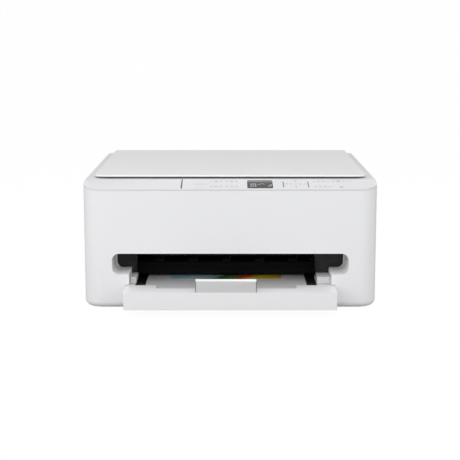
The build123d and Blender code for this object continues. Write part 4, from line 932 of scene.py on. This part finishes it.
@dataclass
class Casing:
    """White outer shells of the fixed body, with the grey floor and rubber feet."""

    crease: float = 28.0
    screw_radius: float = 3.2 * MM
    screw_height: float = 0.8 * MM
    recess_width: float = 0.9 * MM
    inset_side: float = 30 * MM
    inset_end: float = 18 * MM

    def build(self) -> None:
        """Dress the shells, the floor, the feet and the back's sliding cover."""
        for node in ("main_cover", "rear_panel"):
            skin(node, "chassis", "white_shell", crease=self.crease)
        # The slot liner takes the lighter copy of the shell's white, which is painted light.
        skin("slot_liner", "chassis", "liner_white", "white_shell", crease=self.crease)
        skin("bottom_case", "chassis", "grey_base")
        skin("rubber_feet", "chassis", "rubber")
        skin("rear_access_cover", "rear_access", "white_shell")
        self.screws()

    def screw_tool(self) -> Piece:
        """Make one flat screw head with a crossed recess, its top towards -Z.

        Returns:
            The tool object.
        """
        radius, height = self.screw_radius, self.screw_height
        recess_reach, recess_place, taper = radius * 1.2, height * 0.6, 0.86
        work = bmesh.new()
        bmesh.ops.create_cone(
            work, cap_ends=True, segments=20, radius1=radius, radius2=radius * taper, depth=height
        )
        head = make_tool("screw_tool", work)
        cross = bmesh.new()
        for size in ((recess_reach, self.recess_width), (self.recess_width, recess_reach)):
            made = bmesh.ops.create_cube(cross, size=1.0)["verts"]
            bmesh.ops.scale(cross, vec=(*size, height), verts=made)
            bmesh.ops.translate(cross, vec=(0, 0, recess_place), verts=made)
        cutter = make_tool("screw_cutter", cross)
        cut = head.modifiers.new("cut", "BOOLEAN")
        cut.operation = "DIFFERENCE"
        cut.solver = "EXACT"
        cut.use_self = True
        cut.object = cutter
        settle(head)
        bpy.data.objects.remove(cutter)
        for vertex in head.data.vertices:
            vertex.co.z = -vertex.co.z
        head.data.flip_normals()
        return head

    def screws(self) -> None:
        """Set the case screws into the underside."""
        low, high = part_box("bottom_case")
        proud = self.screw_height * 0.1
        under = [
            Vector((x, y, low.z - proud))
            for x in (low.x + self.inset_side, 0.0, high.x - self.inset_side)
            for y in (low.y + self.inset_end, high.y - self.inset_end)
        ]
        values = {"Tool": self.screw_tool(), "Turn": (0.0, 0.0, 3.0), "Seed": 4}
        ON_POINTS.run("underside_screws", under, ("chassis", "steel"), **values)
        bpy.data.objects.remove(values["Tool"])


@dataclass
class ScannerUnit:
    """Rim, tub, glass and reading bar of the flatbed."""

    body: str = "scanner_unit"
    rim_crease: float = 24.0

    def build(self) -> None:
        """Dress the scanner's pieces."""
        # The panel rim wears the darker copy of the shell's white, which is painted shade.
        look = (self.body, "panel_white", "white_shell")
        skin("scanner_top_frame", *look, crease=self.rim_crease)
        skin("scanner_housing", self.body, "white_shell")
        dress("scanner_glass", "clear_glass")
        skin("scan_carriage", "scan_bar", "black_inner")


@dataclass
class DocumentCover:
    """Flat cover with its white sheet-faced foam pad."""

    body: str = "document_cover"
    crease: float = 24.0

    def build(self) -> None:
        """Dress the cover and the pad."""
        skin("document_lid", self.body, "white_shell", crease=self.crease)
        skin("document_pad", self.body, "foam")


def round_path(radius: float, sides: int, turn: float = 0.0, middle: float = 0.0) -> Path:
    """Give the corners of a regular outline, the first at an angle, round a point of the X axis."""
    return tuple(Decal.arc((middle, 0), radius, turn, turn + 360, sides)[:-1])


def box_path(reach: float, rise: float) -> Path:
    """Give the corners of a rectangle round the origin by its half sizes."""
    return ((-reach, -rise), (reach, -rise), (reach, rise), (-reach, rise))


def rungs(left: float, right: float, *heights: float) -> tuple[Path, ...]:
    """Give level lines between two sides, one at each height."""
    return tuple(((left, height), (right, height)) for height in heights)


@dataclass(frozen=True)
class Glyph:
    """A plain drawing in millimetres: open lines, closed lines and filled outlines."""

    lines: tuple[Path, ...] = ()
    loops: tuple[Path, ...] = ()
    fills: tuple[Path, ...] = ()

    def draw(self, drawing: Decal, width: float) -> None:
        """Add it to a drawing.

        Args:
            drawing: the drawing that takes it.
            width: the width of its lines.
        """
        for points in self.lines:
            drawing.ribbon(points, width)
        for points in self.loops:
            drawing.ribbon(points, width, closed=True)
        for points in self.fills:
            drawing.polygon(points)


class Mark(Enum):
    """Pictograms of the keys, about 4 mm wide and centred."""

    HOUSE = Glyph(
        (
            ((-2.0, 0.2), (0, 1.9), (2.0, 0.2)),
            ((-1.4, -0.2), (-1.4, -1.8), (1.4, -1.8), (1.4, -0.2)),
        )
    )
    LINES = Glyph(rungs(-2.2, 2.2, -1.4, 0, 1.4))
    RETURN = Glyph(
        (((1.9, 1.2), (1.9, -0.6), (-1.4, -0.6)),),
        fills=(((-2.4, -0.6), (-0.9, -1.7), (-0.9, 0.5)),),
    )
    PLUS = Glyph((*rungs(-2.0, 2.0, 0), ((0, -0.35), (0, -2.0)), ((0, 0.35), (0, 2.0))))
    MINUS = Glyph(rungs(-2.0, 2.0, 0))
    RING = Glyph(loops=(round_path(1.7, 24),))
    UP = Glyph(fills=(round_path(1.45, 3, 90),))
    DOWN = Glyph(fills=(round_path(1.45, 3, 270),))
    LEFT = Glyph(fills=(round_path(1.45, 3, 180),))
    RIGHT = Glyph(fills=(round_path(1.45, 3),))
    SHEET = Glyph(rungs(-0.8, 0.8, -0.7, 0.7), loops=(box_path(1.6, 1.9),))
    DROPS = Glyph(fills=tuple(round_path(0.7, 20, middle=x) for x in (-1.7, 0, 1.7)))
    STOP = Glyph(loops=(round_path(1.9, 24),), fills=(box_path(0.8, 0.8),))


@dataclass
class KeyPanel:
    """Sloping operation panel: keys with pictograms, end ridges, display and lamps; sizes in mm."""

    body: str = "scanner_unit"
    line: float = 0.55
    print_height: float = 0.03
    wide_key: float = 9.0
    ridge_place: float = 6.5
    ridge_radius: float = 3.4
    ridge_turn: float = 32.0
    ridge_size: Point2 = (0.6, 0.12)
    ridge_sink: float = 0.15
    display_up: float = 20.6
    display_lift: float = 0.02
    signs: tuple[tuple[Glyph, float], ...] = (
        (
            Glyph(
                tuple(
                    ((x, -9.0), (x, top))
                    for x, top in ((10.4, -7.2), (11.7, -5.0), (13.0, -2.8), (14.3, -0.6))
                )
            ),
            0.75,
        ),
        (Glyph(loops=(((-11.5, -10.0), (-5.5, -10.0), (-5.5, 2.0), (-11.5, 2.0)),)), 0.8),
        (Glyph(rungs(-10.0, -7.0, -6.5, -3.5, -0.5)), 0.7),
        (Glyph((((-3.0, -2.5), (2.5, 2.5), (6.0, -1.0)),)), 0.8),
    )
    bar_places: Point2 = (68.6, 100.7)
    bar_span: Point2 = (7.0, 31.8)
    bar_width: float = 1.4
    leader_places: Path = ((121.8, 33.2), (122.4, 10.8), (149.0, 33.2))
    leader_size: Point2 = (2.6, 1.5)
    leader_pitch: float = 3.4
    radio_place: Point2 = (142.6, 8.0)
    radio_foot: Point2 = (0, -2.0)
    radio_radii: tuple[float, ...] = (1.4, 2.8, 4.2)
    radio_turns: Point2 = (40.0, 140.0)
    radio_line: float = 0.6
    legends: tuple[tuple[str, Mark, str], ...] = (
        ("key_home", Mark.HOUSE, "legend_amber"),
        ("key_menu_1", Mark.LINES, "legend_grey"),
        ("key_menu_2", Mark.RETURN, "legend_grey"),
        ("key_menu_3", Mark.PLUS, "legend_grey"),
        ("key_menu_4", Mark.MINUS, "legend_grey"),
        ("key_ok", Mark.RING, "legend_pale"),
        ("key_up", Mark.UP, "legend_grey"),
        ("key_down", Mark.DOWN, "legend_grey"),
        ("key_left", Mark.LEFT, "legend_grey"),
        ("key_right", Mark.RIGHT, "legend_grey"),
        ("key_start_black", Mark.SHEET, "legend_pale"),
        ("key_start_colour", Mark.DROPS, "legend_teal"),
        ("key_stop", Mark.STOP, "legend_red"),
    )

    def build(self) -> None:
        """Dress the keys, then add what is printed or set beside them."""
        for key, mark, ink in self.legends:
            skin(key, key, "white_key")
            drawing = Decal()
            mark.value.draw(drawing, self.line)
            own(drawing.finish(f"{key}_mark", LAYOUT.crown(key)), key, ink, "dark_lens")
        self.end_ridges()
        self.display()
        self.printed_lines()

    def end_ridges(self) -> None:
        """Set a small curved ridge at both ends of every wide key."""
        keys = [key for key, *_ in self.legends]
        wide = [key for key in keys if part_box(key)[1].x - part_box(key)[0].x > self.wide_key * MM]
        sink = LAYOUT.normal * self.ridge_sink * MM
        width, height = self.ridge_size
        for hand, side in ((-1, "left"), (1, "right")):
            ridge = Decal(height)
            centre, outward = (-hand * self.ridge_radius, 0), 90 - hand * 90
            turns = (outward - self.ridge_turn, outward + self.ridge_turn)
            ridge.ribbon(ridge.arc(centre, self.ridge_radius, *turns, 8), width)
            tool = ridge.finish(f"ridge_tool_{side}", Matrix.Rotation(LAYOUT.slope, 4, "X"))
            shift = Vector((hand * self.ridge_place * MM, 0, 0))
            points = [LAYOUT.crown(key).translation - sink + shift for key in wide]
            look = (self.body, "legend_grey", "dark_lens")
            ON_POINTS.run(f"key_ridges_{side}", points, look, Tool=tool, Seed=1)
            bpy.data.objects.remove(tool)

    def print_on(self, name: str, drawing: Decal, ink: str, place: Matrix) -> None:
        """Lay a finished drawing on the panel in one ink, its origin at a matrix."""
        own(drawing.finish(name, place), self.body, ink, "dark_lens")

    def display(self) -> None:
        """Part the panel's lenses into the display window and the lamp bar, and draw the signs."""
        lens = painted("panel_lenses", ("dark_lens", "status_bar"), lambda face: face.center.x < 0)
        own(lens, self.body, "dark_lens")
        window = [point.x for point in corners("panel_lenses") if point.x > 0]
        middle = (min(window) + max(window)) / 2 / MM
        signs = Decal(self.print_height)
        for glyph, width in self.signs:
            glyph.draw(signs, width)
        place = LAYOUT.on_panel(middle, self.display_up, self.display_lift)
        self.print_on("display_signs", signs, "screen_marks", place)

    def printed_lines(self) -> None:
        """Print the bars by the arrow keys, the leaders by the start keys and the radio arcs."""
        origin = LAYOUT.on_panel(0, 0)
        bars = Decal(self.print_height)
        for x in self.bar_places:
            bars.ribbon([(x, up) for up in self.bar_span], self.bar_width)
        self.print_on("arrow_key_bars", bars, "legend_grey", origin)
        leaders = Decal(self.print_height)
        length, width = self.leader_size
        for start, up in self.leader_places:
            for x in (start + step * self.leader_pitch for step in range(3)):
                leaders.ribbon([(x, up), (x + length, up)], width)
        self.print_on("start_key_leaders", leaders, "legend_pale", origin)
        arcs = Decal(self.print_height)
        for radius in self.radio_radii:
            arcs.ribbon(arcs.arc(self.radio_foot, radius, *self.radio_turns, 10), self.radio_line)
        arcs.disc(self.radio_foot, self.radio_line)
        self.print_on("radio_lamp", arcs, "legend_grey", LAYOUT.on_panel(*self.radio_place))


@dataclass
class OutputSlot:
    """Black inside of the front slot, with the rollers that push the sheet out."""

    face_skin: float = 3.0 * MM
    gear_width: float = 5.5 * MM
    shaft_radius: float = 3.1 * MM
    tyre_radius: float = 3.6 * MM
    sideways: float = 0.9

    def build(self) -> None:
        """Dress the surround and the rollers, with painted shade of the recess in the darker black
        of the surround's deep faces and the platen.
        """
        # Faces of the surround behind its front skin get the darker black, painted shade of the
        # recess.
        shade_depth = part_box("output_surround")[0].y + self.face_skin
        finishes = ("black_inner", "black_deep")
        surround = painted("output_surround", finishes, lambda face: face.center.y > shade_depth)
        own(surround, "chassis", "black_inner")
        # The platen, deep in the slot, takes the same painted recess shade.
        skin("platen", "chassis", "black_deep", "black_inner")
        skin("rear_guide", "chassis", "black_inner")
        skin("star_wheels", "star_wheels", "dark_steel", "steel")
        skin("pinch_roller", "pinch_roller", "black_inner", "gear_plastic")
        for node, slot in (("feed_roller", "roller_steel"), ("output_roller", "roller_rubber")):
            self.roller(node, slot)

    def roller(self, node: str, slot: str) -> None:
        """Give a driven roller rubber tyres, a dark steel shaft and a plastic gear.

        Args:
            node: the roller's frame node.
            slot: its slot in the record.
        """
        low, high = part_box(node)
        axle = (low + high).yz / 2
        gear_end = low.x + self.gear_width

        def choose(face: bpy.types.MeshPolygon) -> int:
            """Tell the shaft, the tyres and the gear apart.

            Args:
                face: one face of the roller.

            Returns:
                The number of its finish.
            """
            away = (face.center.yz - axle).length
            wide = away > self.shaft_radius
            if wide and face.center.x < gear_end:
                return 2
            return int(away > self.tyre_radius or (wide and abs(face.normal.x) > self.sideways))

        finishes = ("dark_steel", "roller_rubber", "gear_plastic")
        own(painted(node, finishes, choose), node, "roller_rubber", slot)


@dataclass
class Cassette:
    """Paper cassette with its pull-out front, stop flap, guides and output plate."""

    grips: int = 4
    grip_pitch: float = 1.9 * MM
    grip_strip: float = 13.5 * MM
    grip_share: float = 0.62
    grip_depth: float = 0.8 * MM
    grip_rise: float = 0.7 * MM
    grip_start: float = 3.2 * MM
    grip_sink: float = 0.2 * MM
    grip_bevel: float = 0.2 * MM
    upright: float = -0.85
    shade_rise: float = 0.03
    shade_width: float = 0.9
    shade_insets: tuple[float, float, float] = (3.8, 2.2, 2.4)

    def build(self) -> None:
        """Dress the cassette's pieces and the sheet that lies on it."""
        skin("cassette_base", "cassette", "cassette_white")
        skin("cassette_front", "tray_front", "cassette_white")
        skin("output_plate", "tray_front", "plate_grey")
        self.flap()
        skin("guide_pinion", "guide_pinion", "gear_plastic")
        dress("printed_sheet", "print_paper")
        for node in ("guide_left", "guide_right"):
            skin(node, node, "black_inner")
            self.grip(node)

    def flap(self) -> None:
        """Dress the stop flap: grey on its upright face as painted shade, with a painted shadow
        line round that face in mm, else white.
        """
        finishes = ("cassette_white", "flap_grey")
        # Faces that stand upright towards the front take the grey painted shade; the rest of the
        # flap stays white.
        flap = painted("output_flap", finishes, lambda face: face.normal.y < self.upright)
        own(flap, "flap", "cassette_white")
        low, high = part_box("output_flap")
        side, under, over = self.shade_insets
        left, right = low.x / MM + side, high.x / MM - side
        foot, head = low.z / MM + under, high.z / MM - over
        # A thin dark ribbon along the flap face's sides and foot: painted shadow of the gaps round
        # the flap.
        shade = Decal(self.shade_rise)
        shade.ribbon([(left, head), (left, foot), (right, foot), (right, head)], self.shade_width)
        place = Matrix.Translation((0, low.y, 0)) @ Matrix.Rotation(math.radians(90), 4, "X")
        own(shade.finish("flap_shadow_line", place), "flap", "plate_shade", "cassette_white")

    def grip(self, node: str) -> None:
        """Raise a row of small ribs at a guide's front end.

        Args:
            node: the guide's frame node.
        """
        low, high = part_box(node)
        half = self.grip_strip / 2
        x = low.x + half if abs(low.x) > abs(high.x) else high.x - half
        size = Vector((self.grip_strip * self.grip_share, self.grip_depth, self.grip_rise))
        bar = make_tool("grip_tool", soft_bar(size, self.grip_bevel))
        values = {
            "Tool": bar,
            "Count": self.grips,
            "Start": Vector((x, low.y + self.grip_start, high.z - self.grip_sink)),
            "Step": Vector((0.0, self.grip_pitch, 0.0)),
            "Seed": 1,
        }
        ON_LINE.run(f"{node}_grip", [Vector()], (node, "black_inner"), **values)
        bpy.data.objects.remove(bar)


@dataclass
class InkSystem:
    """Carriage with its cartridges, the rail, the belt and its pulleys, and the park station."""

    tooth_pitch: float = 2.0 * MM
    tooth_length: float = 1.0 * MM
    tooth_depth: float = 0.5 * MM
    tooth_bevel: float = 0.12 * MM
    tooth_share: float = 0.98
    tooth_inset: float = 1.2 * MM
    pulley_room: float = 6.0 * MM

    def build(self) -> None:
        """Dress the ink system."""
        skin("ink_carriage", "carriage", "black_inner")
        skin("ink_cartridges", "carriage", "grey_base", "black_inner")
        skin("carriage_rail", "chassis", "steel")
        skin("carriage_belt", "chassis", "belt")
        skin("cap_station", "chassis", "grey_base")
        skin("carriage_motor", "chassis", "steel")
        for node in ("drive_pulley", "idler_pulley"):
            skin(node, node, "gear_plastic")
        self.belt_teeth()

    def belt_teeth(self) -> None:
        """Cut the toothed inner side of the belt's two straight runs."""
        low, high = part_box("carriage_belt")
        reach = min(abs(corner.x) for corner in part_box("drive_pulley")) - self.pulley_room
        width = (high.z - low.z) * self.tooth_share
        size = Vector((self.tooth_length, self.tooth_depth, width))
        tooth = make_tool("tooth_tool", soft_bar(size, self.tooth_bevel))
        for run, y in (("front", low.y + self.tooth_inset), ("rear", high.y - self.tooth_inset)):
            values = {
                "Tool": tooth,
                "Count": int(2 * reach / self.tooth_pitch),
                "Start": Vector((-reach, y, (low.z + high.z) / 2)),
                "Step": Vector((self.tooth_pitch, 0.0, 0.0)),
                "Seed": 1,
            }
            ON_LINE.run(f"belt_teeth_{run}", [Vector()], ("chassis", "belt"), **values)
        bpy.data.objects.remove(tooth)


@dataclass
class Drive:
    """Frame plates, gears, motors, pickup and circuit boards."""

    looks: tuple[tuple[str, str, str], ...] = (
        ("frame_left", "chassis", "steel"),
        ("frame_right", "chassis", "steel"),
        ("feed_motor", "chassis", "steel"),
        ("idler_gear", "idler_gear", "gear_plastic"),
        ("motor_pinion", "motor_pinion", "brass"),
        ("pickup_arm", "pickup_arm", "black_inner"),
        ("pickup_roller", "pickup_roller", "roller_rubber"),
        ("main_board", "chassis", "circuit_board"),
        ("power_supply", "chassis", "black_inner"),
        ("power_inlet", "chassis", "black_inner"),
        ("usb_port", "chassis", "steel"),
    )

    def build(self) -> None:
        """Dress the drive's pieces."""
        for node, body, finish in self.looks:
            skin(node, body, finish)


@dataclass
class Studio:
    """White sweep, soft lamps and the camera at the photograph's angle; its place is in mm."""

    focal_pixels: float = 1200.0
    image_width: float = 460.0
    sensor: float = 36.0
    distance: float = 1517.0
    height: float = 367.4
    pitch: float = 9.83
    offset: float = -0.3
    floor_matte: Colour = (0.5, 0.5, 0.5)
    floor_glow: float = 1.05
    glow_share: float = 0.92
    room_light: float = 0.5

    def build(self) -> None:
        """Set up the floor, the world, the lamps and the camera."""
        self.floor()
        self.world()
        lamps = (
            ("front_softbox", (-0.35, -2.2, 1.5), (0, 0, 0.1), 2.0, 1.4, 14.5),
            ("left_softbox", (-0.8, -0.75, 0.55), (0, 0, 0.1), 0.6, 0.7, 3.6),
            ("right_softbox", (0.8, -0.75, 0.55), (0, 0, 0.1), 0.6, 0.7, 3.0),
            ("top_softbox", (-0.1, 0.1, 2.2), (0, 0, 0), 2.2, 2.2, 18.0),
        )
        for name, place, target, width, height, power in lamps:
            self.lamp(name, Vector(place), Vector(target), (width, height), power)
        self.camera()

    def floor(self) -> None:
        """Lay the sweep: a floor that curves up into a backdrop, seen white by the camera."""
        half, front, back, rise, bend, steps = 4.0, -4.0, 2.6, 3.0, 1.0, 12
        profile = [(front, 0.0), (back - bend, 0.0)]
        for step in range(1, steps + 1):
            angle = math.pi / 2 * step / steps
            profile.append((back - bend + bend * math.sin(angle), bend - bend * math.cos(angle)))
        profile.append((back, rise))
        verts = [(x, y, z) for x in (-half, half) for y, z in profile]
        count = len(profile)
        faces = [(i, i + count, i + 1 + count, i + 1) for i in range(count - 1)]
        mesh = bpy.data.meshes.new("sweep")
        mesh.from_pydata(verts, [], faces)
        mesh.shade_smooth()
        sweep = to_object("sweep", mesh)
        material = bpy.data.materials.new("sweep_white")
        material.use_nodes = True
        wiring = Wiring(material.node_tree)
        wiring.nodes.clear()
        matte = wiring.add("ShaderNodeBsdfDiffuse", {"Color": (*self.floor_matte, 1)})
        glow = wiring.add("ShaderNodeEmission", {"Strength": self.floor_glow})
        path = wiring.add("ShaderNodeLightPath").outputs
        share = wiring.math("MULTIPLY", path["Is Camera Ray"], self.glow_share)
        mix = wiring.add("ShaderNodeMixShader", {0: share, 1: matte.outputs[0], 2: glow.outputs[0]})
        wiring.add("ShaderNodeOutputMaterial", {"Surface": mix.outputs[0]})
        mesh.materials.append(material)

    def world(self) -> None:
        """Fill the room with soft grey light, and show white to the camera and in reflections."""
        world = bpy.data.worlds.new("room")
        bpy.context.scene.world = world
        world.use_nodes = True
        wiring = Wiring(world.node_tree)
        wiring.nodes.clear()
        colour = {"Color": (1, 1, 1, 1)}
        fill = wiring.add("ShaderNodeBackground", {**colour, "Strength": self.room_light})
        white = wiring.add("ShaderNodeBackground", colour)
        path = wiring.add("ShaderNodeLightPath").outputs
        share = path["Is Camera Ray"]
        for ray in ("Is Glossy Ray", "Is Transmission Ray"):
            feeds = {0: share, 1: path[ray]}
            share = wiring.add("ShaderNodeMath", feeds, operation="ADD", use_clamp=True).outputs[0]
        mix = wiring.add("ShaderNodeMixShader", {0: share, 1: fill.outputs[0], 2: white.outputs[0]})
        wiring.add("ShaderNodeOutputWorld", {"Surface": mix.outputs[0]})

    @staticmethod
    def lamp(name: str, place: Vector, target: Vector, size: Point2, power: float) -> None:
        """Hang one soft rectangular lamp.

        Args:
            name: the lamp's name.
            place: where it hangs.
            target: the point it faces.
            size: its width and height.
            power: its power in watts.
        """
        light = bpy.data.lights.new(name, "AREA")
        light.shape = "RECTANGLE"
        light.size, light.size_y = size
        light.energy = power
        lamp = bpy.data.objects.new(name, light)
        lamp.location = place
        lamp.rotation_euler = (target - place).to_track_quat("-Z", "Y").to_euler()
        bpy.context.scene.collection.objects.link(lamp)

    def camera(self) -> None:
        """Stand the camera where the photograph was taken from."""
        data = bpy.data.cameras.new("camera")
        data.sensor_width = self.sensor
        data.lens = self.focal_pixels / self.image_width * self.sensor
        data.clip_end = 20.0
        data.dof.use_dof = False
        camera = bpy.data.objects.new("camera", data)
        camera.location = (self.offset * MM, LAYOUT.front - self.distance * MM, self.height * MM)
        camera.rotation_euler = (math.radians(90 - self.pitch), 0, 0)
        bpy.context.scene.collection.objects.link(camera)
        bpy.context.scene.camera = camera


def main() -> None:
    """Build every sub-assembly in order, then the studio."""
    logging.basicConfig(level=logging.INFO, format="%(message)s")
    bpy.context.scene.view_settings.view_transform = "Standard"
    assemblies = (
        Casing(),
        ScannerUnit(),
        DocumentCover(),
        KeyPanel(),
        OutputSlot(),
        Cassette(),
        InkSystem(),
        Drive(),
    )
    for assembly in assemblies:
        assembly.build()
        log.info("%s built", type(assembly).__name__)
    Studio().build()


if __name__ == "__main__":
    main()
